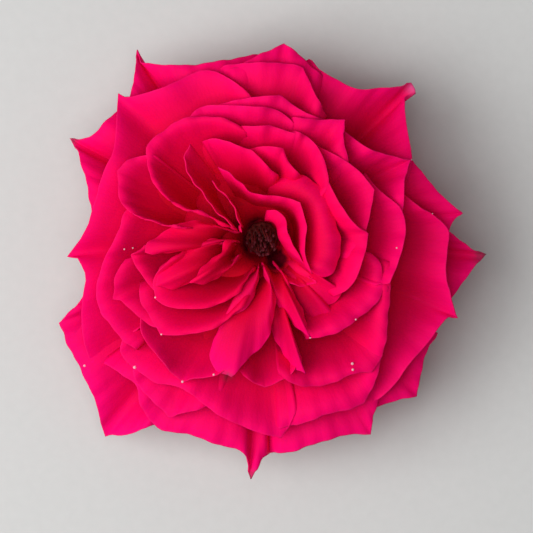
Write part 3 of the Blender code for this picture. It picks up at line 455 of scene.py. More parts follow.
# Half the width of the floor in metres, and the lights: place and side in metres, power in watts
FLOOR_HALF = 1.5
LIGHTS = [("window", (-0.60, -0.08, 0.66), 0.7, 7.4), ("skylight", (-0.10, -0.05, 0.95), 0.5, 2.8)]
LIGHT_AIM = (0.0, 0.0, 0.02)
ROOM_COLOUR = (0.97, 0.98, 1.0, 1.0)
ROOM_STRENGTH = 0.2


class RoseSizes(bpy.types.PropertyGroup):
    """Sizes of the rose's fine surfaces."""

    petal_thickness: bpy.props.FloatProperty(
        name="Petal thickness", description="Thickness of a petal's blade",
        default=0.00032, min=0.0001, max=0.001, unit="LENGTH", precision=5)
    petal_cells_across: bpy.props.IntProperty(
        name="Cells across", description="Cells from margin to margin of a petal",
        default=60, min=8, max=120)
    petal_cells_along: bpy.props.IntProperty(
        name="Cells along", description="Cells from claw to rim of a petal", default=40, min=6, max=80)
    ripple_height: bpy.props.FloatProperty(
        name="Ripple height", description="Height of the soft ripples near a petal's rim",
        default=0.00032, min=0.0, max=0.002, unit="LENGTH", precision=5)
    vein_spacing: bpy.props.FloatProperty(
        name="Vein spacing", description="Distance between veins at the rim",
        default=0.0013, min=0.0003, max=0.01, unit="LENGTH", precision=5)
    sepal_thickness: bpy.props.FloatProperty(
        name="Sepal thickness", description="Thickness of a sepal",
        default=0.0008, min=0.0003, max=0.002, unit="LENGTH", precision=5)


class RoseColours(bpy.types.PropertyGroup):
    """Colours of the rose, in linear light."""

    # Darker, redder claw colour: painted shade deep in the bloom
    petal_claw_shade: bpy.props.FloatVectorProperty(
        name="Petal claw", description="Petal colour deep in the bloom",
        subtype="COLOR", size=4, default=(0.62, 0.0, 0.02, 1.0), min=0.0, max=1.0)
    petal_face: bpy.props.FloatVectorProperty(
        name="Petal face", description="Petal colour in the middle of the bloom",
        subtype="COLOR", size=4, default=(0.90, 0.0, 0.066, 1.0), min=0.0, max=1.0)
    petal_outer: bpy.props.FloatVectorProperty(
        name="Outer petal", description="Cooler petal colour far out from the eye",
        subtype="COLOR", size=4, default=(0.91, 0.0, 0.15, 1.0), min=0.0, max=1.0)
    # Paler rim colour: a painted highlight along the edge
    petal_rim_highlight: bpy.props.FloatVectorProperty(
        name="Petal rim", description="Paler colour along the very edge of a petal",
        subtype="COLOR", size=4, default=(0.98, 0.04, 0.24, 1.0), min=0.0, max=1.0)
    petal_back: bpy.props.FloatVectorProperty(
        name="Petal back", description="Petal colour on the underside",
        subtype="COLOR", size=4, default=(0.90, 0.004, 0.12, 1.0), min=0.0, max=1.0)
    petal_dry: bpy.props.FloatVectorProperty(
        name="Dry tip", description="Colour of dry petal tips",
        subtype="COLOR", size=4, default=(0.24, 0.035, 0.07, 1.0), min=0.0, max=1.0)
    filament: bpy.props.FloatVectorProperty(
        name="Filament", description="Colour of the stamens' threads",
        subtype="COLOR", size=4, default=(0.16, 0.012, 0.012, 1.0), min=0.0, max=1.0)
    anther: bpy.props.FloatVectorProperty(
        name="Anther", description="Colour of the stamens' heads",
        subtype="COLOR", size=4, default=(0.06, 0.012, 0.010, 1.0), min=0.0, max=1.0)
    sepal: bpy.props.FloatVectorProperty(
        name="Sepal", description="Colour of the sepals and the hip",
        subtype="COLOR", size=4, default=(0.14, 0.27, 0.06, 1.0), min=0.0, max=1.0)
    stem: bpy.props.FloatVectorProperty(
        name="Stem", description="Colour of the stem's bark",
        subtype="COLOR", size=4, default=(0.12, 0.23, 0.055, 1.0), min=0.0, max=1.0)
    floor: bpy.props.FloatVectorProperty(
        name="Floor", description="Colour of the plain floor",
        subtype="COLOR", size=4, default=(0.60, 0.60, 0.59, 1.0), min=0.0, max=1.0)


def run_along(points):
    """How far along a line each of its points lies."""
    steps = np.linalg.norm(np.diff(points, axis=0), axis=1)
    return np.concatenate([[0.0], np.cumsum(steps)])


def smooth_line(points, cells):
    """Evenly spaced places on a smooth line through the points: a centripetal Catmull-Rom curve."""
    points = np.asarray(points, float)
    if len(points) == 2:
        share = np.linspace(0, 1, cells + 1)[:, None]
        return points[0] * (1 - share) + points[1] * share
    ends = np.vstack([2 * points[0] - points[1], points, 2 * points[-1] - points[-2]])
    pieces = []
    for i in range(len(points) - 1):
        a, b, c, d = ends[i:i + 4]
        t1 = np.linalg.norm(b - a) ** 0.5
        t2 = t1 + np.linalg.norm(c - b) ** 0.5
        t3 = t2 + np.linalg.norm(d - c) ** 0.5
        t = np.linspace(t1, t2, LINE_STEPS, endpoint=False)[:, None]
        ab = (t1 - t) / t1 * a + t / t1 * b
        bc = (t2 - t) / (t2 - t1) * b + (t - t1) / (t2 - t1) * c
        cd = (t3 - t) / (t3 - t2) * c + (t - t2) / (t3 - t2) * d
        abc = (t2 - t) / t2 * ab + t / t2 * bc
        bcd = (t3 - t) / (t3 - t1) * bc + (t - t1) / (t3 - t1) * cd
        pieces.append((t2 - t) / (t2 - t1) * abc + (t - t1) / (t2 - t1) * bcd)
    pieces.append(points[-1:])
    fine = np.vstack(pieces)
    run = run_along(fine)
    at = np.linspace(0, run[-1], cells + 1)
    return np.stack([np.interp(at, run, fine[:, k]) for k in range(2)], axis=1)


def rim_in_plan(rim, tip, cells):
    """The rim as points in plan, the same line rounded off, and each point's share from the tip.

    The share is -1 at one margin, 0 at the tip and 1 at the other margin.
    """
    rim = np.asarray(rim, float)
    steps = np.linalg.norm(np.diff(rim, axis=0), axis=1)
    if tip is None:
        line = smooth_line(rim, RIM_STEPS)
        places = np.linspace(0, RIM_STEPS, cells + 1)
        share = np.linspace(-1, 1, RIM_STEPS + 1)
    else:
        left = steps[:tip].sum() / steps.sum()
        turn = int(np.clip(round(RIM_STEPS * left), 2, RIM_STEPS - 2))
        first = int(np.clip(round(cells * left), 1, cells - 1))
        line = np.vstack([smooth_line(rim[:tip + 1], turn), smooth_line(rim[tip:], RIM_STEPS - turn)[1:]])
        places = np.concatenate([np.linspace(0, turn, first + 1),
                                 np.linspace(turn, RIM_STEPS, cells - first + 1)[1:]])
        share = np.concatenate([np.linspace(-1, 0, turn + 1), np.linspace(0, 1, RIM_STEPS - turn + 1)[1:]])
    soft = line
    step = steps.sum() / RIM_STEPS
    for _ in range(int(np.clip(2 * (RIM_ROUNDING / step) ** 2, *RIM_ROUNDS))):
        wide = np.vstack([2 * soft[0] - soft[1], soft, 2 * soft[-1] - soft[-2]])
        soft = (wide[:-2] + 2 * wide[1:-1] + wide[2:]) / 4
    index = np.arange(RIM_STEPS + 1)
    sampled = [np.interp(places, index, column) for column in (*line.T, *soft.T, share)]
    return np.stack(sampled[:2], axis=1), np.stack(sampled[2:4], axis=1), sampled[4]


def dome_height(x, y):
    """Height of the bloom's outer form: a flattened dome, dipped at the eye, its middle a little off."""
    far = np.hypot(x, y)
    weight = np.clip(far / DOME_SHIFT_REACH, 0, 1)
    reach = np.hypot(x - DOME_SHIFT[0] * weight, y - DOME_SHIFT[1] * weight)
    dip = DOME_DIP * np.exp(-(far / DOME_DIP_REACH) ** 2)
    return DOME_TOP - dip - DOME_FALL * (reach / DOME_REACH) ** DOME_POWER


def petal_surface(row, cells, stations):
    """Grid of points, claw to rim by margin to margin: each line along the petal has five handles.

    The curves run to the rounded rim, and near their ends they bend to the true rim with its point.
    """
    sharp, plan, share = rim_in_plan(row["rim"], row["tip"], cells)
    x, y = plan[:, 0], plan[:, 1]
    far = np.hypot(x, y)
    margin = np.abs(share)
    z = dome_height(x, y) + row["lift"] - row["drop"] * margin ** DROP_POWER
    z = z - row["dive"] * margin ** DIVE_POWER
    z = z - row["bow"] * (1 - np.exp(-(margin / BOW_WIDTH) ** 2))
    rim = np.stack([x, y, z], axis=1)
    middle = np.arctan2(y.mean(), x.mean())
    turn = (np.arctan2(y, x) - middle + pi) % (2 * pi) - pi
    if "fold" in row:
        claw_radius = np.full_like(x, GUARD_CLAW_RADIUS)
        claw_height = np.full_like(x, GUARD_CLAW_HEIGHT)
        claw_turn = middle + GUARD_CLAW_SPREAD * turn
    else:
        claw_radius = CLAW_RADIUS[0] + CLAW_RADIUS[1] * far / DOME_REACH
        claw_height = CLAW_HEIGHT[0] + CLAW_HEIGHT[1] * far / DOME_REACH
        claw_turn = middle + turn
    claw = np.stack([claw_radius * np.cos(claw_turn), claw_radius * np.sin(claw_turn), claw_height], axis=1)
    level = rim[:, :2] - claw[:, :2]
    run = np.linalg.norm(level, axis=1)
    outward = level / np.maximum(run, 1e-6)[:, None]
    size = np.linalg.norm(rim - claw, axis=1)
    steep = np.radians(np.clip(np.interp(far, STEEPNESS_AT, STEEPNESS) + row["rise"], *STEEPNESS_LIMITS))
    start = np.column_stack([outward * np.cos(steep)[:, None], np.sin(steep)])
    slope = np.full_like(x, radians(row["slope"]))
    end = np.column_stack([outward * np.cos(slope)[:, None], np.sin(slope)])
    first = claw + start * (row["first"] * size)[:, None]
    waist = rim - np.column_stack([outward * (row["back"] * run)[:, None], np.full_like(x, row["waist"])])
    waist[:, :2] -= row.get("lean", 0.0) * rim[:, :2] / far[:, None]
    last = rim - end * (row["last"] * size)[:, None]
    t = np.asarray(stations)[:, None, None]
    s = 1 - t
    grid = s ** 4 * claw + 4 * s ** 3 * t * first + 6 * s ** 2 * t ** 2 * waist
    grid = grid + 4 * s * t ** 3 * last + t ** 4 * rim
    wave = row["wave"] * np.sin(2 * pi * share + far.mean()) * (1 - WAVE_FADE * margin)
    grid[:, :, 2] += wave[None, :] * t[:, :, 0] ** WAVE_POWER
    fold = row.get("fold", 0.0) * (1 - np.exp(-(margin / FOLD_WIDTH) ** 2))
    curl = row.get("curl", 0.0) * np.exp(-(share / CURL_WIDTH) ** 2)
    point = dome_height(*sharp.T) - dome_height(x, y) - fold + curl
    bend = np.column_stack([sharp - plan, point])
    return grid + np.clip((t - POINT_FROM) / (1 - POINT_FROM), 0, 1) ** 3 * bend


def surface_normals(grid):
    """Unit normals of a grid: the cross product of its steps across and along."""
    normal = np.cross(np.gradient(grid, axis=1), np.gradient(grid, axis=0))
    return normal / np.maximum(np.linalg.norm(normal, axis=2, keepdims=True), 1e-9)


def rippled(grid, height, number):
    """The grid moved along its normals by sine waves that grow from mid-petal to its rim."""
    run = run_along(grid[-1])
    t = np.linspace(0, 1, grid.shape[0])[:, None]
    grow = np.clip((t - RIPPLE_FROM) / (1 - RIPPLE_FROM), 0, 1) ** RIPPLE_POWER
    wave = sum(share * np.sin(run / length_of + shift * number + slant * t)
               for share, length_of, shift, slant in RIPPLE_WAVES)
    return grid + surface_normals(grid) * (height * grow * wave)[:, :, None]


def slab(grid, thick):
    """Points and quads of a blade: the surface moved half its thickness to each side and closed."""
    normal = surface_normals(grid)
    rows, columns = grid.shape[:2]
    half = normal * thick / 2
    points = np.concatenate([(grid + half).reshape(-1, 3), (grid - half).reshape(-1, 3)])
    index = np.arange(rows * columns).reshape(rows, columns)
    face = np.stack([index[:-1, :-1], index[:-1, 1:], index[1:, 1:], index[1:, :-1]], axis=-1).reshape(-1, 4)
    far = rows * columns
    ring = np.concatenate([index[0, :], index[1:, -1], index[-1, :-1][::-1], index[1:-1, 0][::-1]])
    onward = np.roll(ring, -1)
    edge = np.stack([onward, ring, ring + far, onward + far], axis=1)
    return points, np.concatenate([face, face[:, ::-1] + far, edge])


def revolved(outline, sides, ribs=0, rib_share=0.0):
    """Points and faces of a closed solid: an outline of (radius, height) turned, ribbed by a cosine."""
    outline = np.asarray(outline, float)
    turn = np.arange(sides) * 2 * pi / sides
    swell = 1 + rib_share * np.cos(ribs * turn)
    radius = outline[:, 0][:, None] * swell[None, :]
    height = np.broadcast_to(outline[:, 1][:, None], radius.shape)
    ring = np.stack([radius * np.cos(turn), radius * np.sin(turn), height], axis=-1).reshape(-1, 3)
    points = np.vstack([ring, [[0, 0, outline[0, 1]], [0, 0, outline[-1, 1]]]])
    index = np.arange(len(outline) * sides).reshape(len(outline), sides)
    onward = np.roll(index, -1, axis=1)
    quads = np.stack([index[:-1], onward[:-1], onward[1:], index[1:]], axis=-1).reshape(-1, 4).tolist()
    foot = len(points) - 2
    top = len(points) - 1
    quads += [[foot, int(b), int(a)] for a, b in zip(index[0], onward[0])]
    quads += [[top, int(a), int(b)] for a, b in zip(index[-1], onward[-1])]
    return points, quads


def tubes(paths, radii, sides):
    """Points and faces of many closed rods at once: a circle carried along each path of a stack."""
    paths = np.asarray(paths, float)
    count, length = paths.shape[:2]
    turn = np.arange(sides) * 2 * pi / sides
    circle = np.stack([np.cos(turn), np.sin(turn), np.zeros(sides)], axis=1)
    points = paths[:, :, None, :] + circle[None, None, :, :] * np.asarray(radii)[None, :, None, None]
    index = np.arange(count * length * sides).reshape(count, length, sides)
    onward = np.roll(index, -1, axis=2)
    corners = [index[:, :-1], onward[:, :-1], onward[:, 1:], index[:, 1:]]
    quads = np.stack(corners, axis=-1).reshape(-1, 4).tolist()
    quads += index[:, 0, ::-1].tolist() + index[:, -1].tolist()
    return points.reshape(-1, 3), quads


def new_piece(name, points, faces, look, node, uv=None, marks=None):
    """A mesh from points in mm from the eye's axis, with one look, that stands for a node of the part."""
    placed = (np.asarray(points, float) + [EYE_X, EYE_Y, 0.0]) * MM
    mesh = bpy.data.meshes.new(name)
    mesh.from_pydata(placed.tolist(), [], faces if isinstance(faces, list) else faces.tolist())
    mesh.update()
    mesh.shade_smooth()
    if uv is not None:
        corners = np.empty(len(mesh.loops), np.int32)
        mesh.loops.foreach_get("vertex_index", corners)
        layer = mesh.uv_layers.new(name="blade")
        layer.data.foreach_set("uv", np.asarray(uv, np.float32)[corners].ravel())
    for key, values in (marks or {}).items():
        mesh.attributes.new(key, "FLOAT", "POINT").data.foreach_set("value", np.asarray(values, np.float32))
    mesh.materials.append(look)
    piece = bpy.data.objects.new(name, mesh)
    bpy.context.scene.collection.objects.link(piece)
    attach(piece, "root")
    if node:
        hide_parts(node)
    return piece


def new_look(name, roughness, specular):
    """A material with its shader, ready for nodes."""
    made = bpy.data.materials.new(name)
    made.use_nodes = True
    shader = made.node_tree.nodes["Principled BSDF"]
    shader.inputs["Roughness"].default_value = roughness
    shader.inputs["Specular IOR Level"].default_value = specular
    return made, made.node_tree, shader


def add_node(tree, kind, settings=None, values=None):
    """A node of a tree with its settings and the values of its inputs."""
    made = tree.nodes.new(kind)
    for key, value in (settings or {}).items():
        setattr(made, key, value)
    for key, value in (values or {}).items():
        made.inputs[key].default_value = value
    return made


def arithmetic(tree, operation, first, second):
    """A Math node on two inputs, each a number or the output of a node."""
    made = add_node(tree, "ShaderNodeMath", {"operation": operation})
    for index, value in enumerate((first, second)):
        if isinstance(value, (int, float)):
            made.inputs[index].default_value = value
        else:
            tree.links.new(value, made.inputs[index])
    return made.outputs[0]


def mixed(tree, share, first, second):
    """A colour mix: share of the way from the first colour to the second."""
    made = add_node(tree, "ShaderNodeMix", {"data_type": "RGBA"})
    for key, value in (("Factor", share), ("A", first), ("B", second)):
        found = [socket for socket in made.inputs if socket.name == key and socket.enabled][0]
        if isinstance(value, (int, float)) or not hasattr(value, "node"):
            found.default_value = value
        else:
            tree.links.new(value, found)
    return [socket for socket in made.outputs if socket.enabled][0]


def product(tree, first, second):
    """The first value times the second, each a number or the output of a node."""
    return arithmetic(tree, "MULTIPLY", first, second)


def mark(tree, key):
    """The value of one of the mesh's own marks."""
    return add_node(tree, "ShaderNodeAttribute", {"attribute_name": key}).outputs["Fac"]


def noise(tree, scale, detail, vector=None):
    """A noise field on Object coordinates, or on another vector."""
    made = add_node(tree, "ShaderNodeTexNoise", values={"Scale": scale, "Detail": detail})
    if vector is None:
        vector = add_node(tree, "ShaderNodeTexCoord").outputs["Object"]
    tree.links.new(vector, made.inputs["Vector"])
    return made.outputs["Fac"]


def mapped(tree, source, low, high, new_low, new_high):
    """A linear change of range, kept inside the new range."""
    made = add_node(tree, "ShaderNodeMapRange", values={
        "From Min": low, "From Max": high, "To Min": new_low, "To Max": new_high})
    tree.links.new(source, made.inputs["Value"])
    return made.outputs["Result"]


def spread(tree, source, low, high):
    """A noise field stretched from low to high."""
    return mapped(tree, source, *NOISE_RANGE, low, high)


def toned(tree, skin, value):
    """A colour, fixed or from a node, made darker or lighter by a value."""
    made = add_node(tree, "ShaderNodeHueSaturation")
    tree.links.new(value, made.inputs["Value"])
    if hasattr(skin, "node"):
        tree.links.new(skin, made.inputs["Color"])
    else:
        made.inputs["Color"].default_value = tuple(skin)
    return made.outputs["Color"]


def bump(tree, shader, height, strength, distance):
    """The shader's relief from a field of heights."""
    made = add_node(tree, "ShaderNodeBump", values={"Strength": strength, "Distance": distance})
    tree.links.new(height, made.inputs["Height"])
    tree.links.new(made.outputs["Normal"], shader.inputs["Normal"])


def finish_look(tree, shader, skin, height, strength, distance):
    """The skin's colour and its bump."""
    tree.links.new(skin, shader.inputs["Base Color"])
    bump(tree, shader, height, strength, distance)


def petal_look(name, colours, sizes):
    """Velvety petal: painted shade at the claw, a bright face and a painted highlight along the rim, painted
    shade in the eye, with fanned veins, soft mottling and dry tips.
    """
    made, tree, shader = new_look(name, *PETAL_SHINE)
    uv = add_node(tree, "ShaderNodeUVMap", {"uv_map": "blade"}).outputs["UV"]
    apart = add_node(tree, "ShaderNodeSeparateXYZ")
    tree.links.new(uv, apart.inputs[0])
    across, along = apart.outputs["X"], apart.outputs["Y"]
    outward = mapped(tree, mark(tree, "far"), *OUTER_FROM_TO, 0.0, 1.0)
    outward = arithmetic(tree, "ADD", outward, COOLER_LAYERS.get(name, 0.0))
    face = mixed(tree, outward, tuple(colours.petal_face), tuple(colours.petal_outer))
    # Towards the claw the colour darkens as painted shade deep in the bloom
    blade = mixed(tree, mapped(tree, along, *CLAW_SHADE_FROM_TO, 1.0, 0.0), face, tuple(colours.petal_claw_shade))
    # The very edge gets a paler colour as a painted highlight
    blade = mixed(tree, mapped(tree, along, *RIM_HIGHLIGHT_FROM_TO, 0.0, RIM_HIGHLIGHT_SHARE), blade, tuple(colours.petal_rim_highlight))
    under = product(tree, mark(tree, "back"), BACK_SHARE)
    blade = mixed(tree, under, blade, tuple(colours.petal_back))
    # Rolled corners show their paler back with a painted highlight
    blade = mixed(tree, mark(tree, "rolled"), blade, ROLLED_BACK_HIGHLIGHT_COLOUR)
    # Painted shade of the deep eye fades outwards, and up each petal that stands over it
    ragged_throat_shade = product(tree, mark(tree, "deep"), spread(tree, noise(tree, 330.0, 3.0), *THROAT_SHADE_RAGGED))
    dark = product(tree, mapped(tree, ragged_throat_shade, *THROAT_SHADE_FROM_TO, 0.0, 1.0),
                   mapped(tree, along, *THROAT_SHADE_UP_FROM_TO, 1.0, 0.0))
    blade = mixed(tree, dark, blade, THROAT_SHADE_COLOUR)
    # Veins run from claw to rim and bend a little on the way
    spacing = sizes.vein_spacing / (MAP_UNIT * MM)
    wander = product(tree, noise(tree, 160.0, 4.0), spacing * VEIN_WANDER)
    phase = product(tree, arithmetic(tree, "ADD", across, wander), 2 * pi / spacing)
    lifted = arithmetic(tree, "ADD", arithmetic(tree, "SINE", phase, 0.0), 1.0)
    vein = arithmetic(tree, "POWER", product(tree, lifted, 0.5), VEIN_SHARPNESS)
    # Whole layers darkened as painted shade
    painted_shade_tone = SHADED_LAYERS.get(name, 1.0)
    mottle = spread(tree, noise(tree, 70.0, 4.0), PETAL_MOTTLE[0] * painted_shade_tone, PETAL_MOTTLE[1] * painted_shade_tone)
    shade = product(tree, mottle, arithmetic(tree, "SUBTRACT", 1.0, product(tree, vein, VEIN_DARKNESS)))
    patchy = product(tree, mark(tree, "dry"), mapped(tree, noise(tree, 900.0, 3.0), *DRY_PATCHES))
    skin = mixed(tree, patchy, toned(tree, blade, shade), tuple(colours.petal_dry))
    grain = product(tree, noise(tree, 2600.0, 2.0), GRAIN_HEIGHT)
    crinkle = product(tree, noise(tree, 420.0, 3.0), CRINKLE_HEIGHT)
    ribbed = arithmetic(tree, "SUBTRACT", crinkle, product(tree, vein, VEIN_HEIGHT))
    finish_look(tree, shader, skin, arithmetic(tree, "ADD", ribbed, grain), *PETAL_BUMP)
    shader.inputs["Subsurface Weight"].default_value = GLOW_WEIGHT
    shader.inputs["Subsurface Radius"].default_value = GLOW_RADIUS
    shader.inputs["Subsurface Scale"].default_value = GLOW_SCALE
    return made


def green_look(name, green):
    """Leafy green skin: mottled, with fine hairs and a red blush in places."""
    made, tree, shader = new_look(name, 0.6, 0.3)
    leaf = toned(tree, green, spread(tree, noise(tree, 260.0, 5.0), 0.75, 1.2))
    blush = mapped(tree, noise(tree, 120.0, 2.0), 0.55, 0.75, 0.0, 0.55)
    hairs = arithmetic(tree, "ADD", noise(tree, 3200.0, 3.0), product(tree, noise(tree, 500.0, 3.0), 1.5))
    finish_look(tree, shader, mixed(tree, blush, leaf, BLUSH_COLOUR), hairs, 0.5, 0.0003)
    return made


def stem_look(name, green):
    """Green bark with fine lengthwise fibres, and a pale ringed wood where the stem is cut."""
    made, tree, shader = new_look(name, 0.5, 0.35)
    where = add_node(tree, "ShaderNodeTexCoord").outputs["Object"]
    stretched = add_node(tree, "ShaderNodeMapping", values={"Scale": FIBRE_SCALE})
    tree.links.new(where, stretched.inputs["Vector"])
    fibre = noise(tree, 2400.0, 4.0, stretched.outputs["Vector"])
    apart = add_node(tree, "ShaderNodeSeparateXYZ")
    tree.links.new(where, apart.inputs[0])
    cut = mapped(tree, apart.outputs["Z"], *CUT_FROM_TO, 1.0, 0.0)
    wood = mixed(tree, spread(tree, noise(tree, 1500.0, 2.0), 0.0, 1.0), *WOOD_COLOURS)
    bark = toned(tree, green, spread(tree, fibre, 0.7, 1.25))
    finish_look(tree, shader, mixed(tree, cut, bark, wood), fibre, 0.5, 0.0002)
    return made


def stamen_look(name, root, tip):
    """Dry threads: dark at the root and browner towards the heads."""
    made, tree, shader = new_look(name, 0.55, 0.2)
    apart = add_node(tree, "ShaderNodeSeparateXYZ")
    tree.links.new(add_node(tree, "ShaderNodeTexCoord").outputs["Object"], apart.inputs[0])
    rise = mapped(tree, apart.outputs["Z"], *STAMEN_FROM_TO, 0.0, 1.0)
    mottle = spread(tree, noise(tree, 1500.0, 3.0), 0.6, 1.3)
    skin = toned(tree, mixed(tree, rise, tuple(root), tip), mottle)
    finish_look(tree, shader, skin, noise(tree, 4000.0, 2.0), 0.4, 0.0001)
    return made


def dew_look(name):
    """Water with a faint unevenness, in a pale pink colour that paints its glints and a reflection of the
    petals round it.
    """
    made, tree, shader = new_look(name, 0.02, 0.5)
    shader.inputs["Base Color"].default_value = DEW_GLINT_COLOUR
    shader.inputs["Transmission Weight"].default_value = DEW_CLEARNESS
    shader.inputs["IOR"].default_value = WATER_IOR
    bump(tree, shader, noise(tree, 900.0, 1.0), 0.1, 0.00005)
    return made


def floor_look(name, pale):
    """Plain pale floor with a barely visible grain."""
    made, tree, shader = new_look(name, 0.85, 0.1)
    grain = toned(tree, pale, spread(tree, noise(tree, 400.0, 3.0), 0.985, 1.01))
    tree.links.new(grain, shader.inputs["Base Color"])
    return made


def stamen_path(ring, i, shares):
    """A thread that rises from its ring and bends over to one side, more or less by a fixed rule."""
    radius, count, height = STAMEN_RINGS[ring]
    turn = 2 * pi * (i + THREAD_STAGGER * ring) / count
    root = np.array([radius * cos(turn), radius * sin(turn)])
    bend = 1 + THREAD_LEAN_CHANGE * cos(3.0 * i + ring)
    stray = [THREAD_STRAY[0] * sin(5.0 * i + 2.0 * ring), THREAD_STRAY[1] * cos(7.0 * i)]
    tip = root + bend * np.array(STAMEN_LEAN) + stray
    tip = tip * min(1.0, STAMEN_REACH / np.linalg.norm(tip))
    tall = height * (1 + THREAD_HEIGHT_CHANGE * sin(5.0 * i + ring))
    shares = np.asarray(shares)[:, None]
    return np.hstack([root + (tip - root) * shares ** THREAD_BEND, FILAMENT_ROOT + tall * shares])


def bead(lines):
    """A bead's outline: places from -1 at one end to 1 at the other, and how wide it is there, up to 1."""
    rise = np.linspace(-1, 1, lines)
    return rise, np.sqrt(1 - (BEAD_CLOSED * rise) ** 2)


def nearness(points, spots):
    """How near each point is to a spot: 1 in its middle and less all round, as a bell curve."""
    share = np.zeros(len(points))
    for x, y, radius in spots:
        share = np.maximum(share, np.exp(-((points[:, 0] - x) ** 2 + (points[:, 1] - y) ** 2) / radius ** 2))
    return share


def reach(points):
    """How far out each point lies from the eye: 1 where the longest petals end."""
    return np.hypot(points[:, 0], points[:, 1]) / DOME_REACH


def build_petals(name, rows):
    """All petals of one layer in one mesh, each a rippled blade, with a map of its run and share along."""
    sizes = bpy.context.scene.rose_sizes
    columns, lines = sizes.petal_cells_across, sizes.petal_cells_along
    stations = 1 - (1 - np.linspace(0, 1, lines + 1)) ** STATION_POWER
    points, faces, uvs, backs = [], [], [], []
    offset = 0
    for number, row in enumerate(rows, 1 + PETALS.index(rows[0])):
        grid = rippled(petal_surface(row, columns, stations), sizes.ripple_height / MM, number)
        blade, quads = slab(grid, sizes.petal_thickness / MM)
        across = run_along(grid[-1]) / MAP_UNIT + number
        flat = np.stack(np.broadcast_arrays(across[None, :], stations[:, None]), axis=-1).reshape(-1, 2)
        points.append(blade)
        faces.append(quads + offset)
        uvs.append(np.vstack([flat, flat]))
        backs.append(np.repeat([0.0, 1.0], len(flat)))
        offset += len(blade)
    points = np.vstack(points)
    look = petal_look(name, bpy.context.scene.rose_colours, sizes)
    # The mark deep carries the painted shade of the eye, and rolled the paler back with its painted highlight
    marks = {"back": np.concatenate(backs), "dry": nearness(points, DRY_SPOTS), "far": reach(points),
             "rolled": nearness(points, ROLLED_TIPS), "deep": nearness(points, THROAT_SHADE_SPOTS)}
    piece = new_piece(name, points, np.vstack(faces), look, "petals", np.vstack(uvs), marks)


class ROSE_OT_stem(bpy.types.Operator):
    """Build the short cut stem"""

    bl_idname = "rose.stem"
    bl_label = "Stem"

    def execute(self, context):
        # The radius grows evenly from foot to top, with a low sine wave on it
        height = np.linspace(0, STEM_TOP, STEM_CELLS[0])
        radius = STEM_RADIUS_FOOT + (STEM_RADIUS_TOP - STEM_RADIUS_FOOT) * height / STEM_TOP
        radius = radius + STEM_WAVE[0] * np.sin(height * STEM_WAVE[1])
        points, faces = revolved(np.column_stack([radius, height]), STEM_CELLS[1], *STEM_RIBS)
        look = stem_look("stem_bark", context.scene.rose_colours.stem)
        piece = new_piece("cut_stem", points, faces, look, "stem")
        return {"FINISHED"}


class ROSE_OT_calyx(bpy.types.Operator):
    """Build the hip and the sepals that bend down from it"""

    bl_idname = "rose.calyx"
    bl_label = "Calyx"

    def execute(self, context):
        look = green_look("calyx_skin", context.scene.rose_colours.sepal)
        points, faces = revolved(smooth_line(HIP_OUTLINE, HIP_CELLS[0]), HIP_CELLS[1], *HIP_RIBS)
        new_piece("hip", points, faces, look, "calyx")
        # A sepal runs along its spine and to its half width on each side. It drops with the square of the
        # share to its side, as far as its keel is high, and twists along a sine
        spine = smooth_line(SEPAL_SPINE, SEPAL_CELLS[0])
        run = np.linspace(0, 1, len(spine))
        half = np.interp(run, np.linspace(0, 1, len(SEPAL_HALF_WIDTH)), SEPAL_HALF_WIDTH)
        half = half * (1 + SEPAL_EDGE_WAVE[0] * np.sin(run * SEPAL_EDGE_WAVE[1]))
        side = np.linspace(1, -1, SEPAL_CELLS[1] + 1)
        keel = SEPAL_KEEL * np.minimum(half / SEPAL_KEEL_WIDTH, 1.0)
        keel = keel * np.clip(spine[:, 1] / SEPAL_KEEL_FADE, 0, 1)
        across = side[None, :] * half[:, None]
        r = spine[:, 0][:, None]
        grow = SEPAL_TWIST[0] * np.clip(run / SEPAL_TWIST_FULL, 0, 1)
        thick = context.scene.rose_sizes.sepal_thickness / MM
        blades, quads, offset = [], [], 0
        for number in range(SEPAL_COUNT):
            turn = radians(SEPAL_FIRST_TURN + number * 360 / SEPAL_COUNT)
            twist = grow * np.sin(run * SEPAL_TWIST[1] + number)
            rise = spine[:, 1][:, None] - side[None, :] ** 2 * keel[:, None] + twist[:, None] * side[None, :]
            x = r * cos(turn) - across * sin(turn)
            y = r * sin(turn) + across * cos(turn)
            blade, face = slab(np.stack([x, y, rise], axis=-1), thick)
            blade[:, 2] = np.maximum(blade[:, 2], 0.0)
            blades.append(blade)
            quads.append(face + offset)
            offset += len(blade)
        piece = new_piece("sepals", np.vstack(blades), np.vstack(quads), look, "calyx")
        return {"FINISHED"}


class ROSE_OT_petal_base(bpy.types.Operator):
    """Build the core that the petals stand on"""

    bl_idname = "rose.petal_base"
    bl_label = "Petal base"

    def execute(self, context):
        points, faces = revolved(smooth_line(CORE_OUTLINE, CORE_CELLS[0]), CORE_CELLS[1], *CORE_RIBS)
        x, y = points[:, 0], points[:, 1]
        # The map runs round the core by its angle, and its share along grows with the radius
        uv = np.column_stack([np.arctan2(y, x) * CORE_MAP_TURN,
                              np.clip(np.hypot(x, y) / CORE_MAP_REACH, 0, CORE_MAP_TOP)])
        none = np.zeros(len(points))
        # The core's deep mark carries the painted shade of the eye
        marks = {"back": none, "dry": none, "far": reach(points), "rolled": none,
                 "deep": nearness(points, THROAT_SHADE_SPOTS)}
        look = petal_look("petal_base", context.scene.rose_colours, context.scene.rose_sizes)
        piece = new_piece("petal_base", points, faces, look, "petals", uv, marks)
        return {"FINISHED"}


class ROSE_OT_guard_petals(bpy.types.Operator):
    """Build the pointed petals of the outside ring"""

    bl_idname = "rose.guard_petals"
    bl_label = "Guard petals"

    def execute(self, context):
        build_petals("guard_petals", GUARD_PETALS)
        return {"FINISHED"}


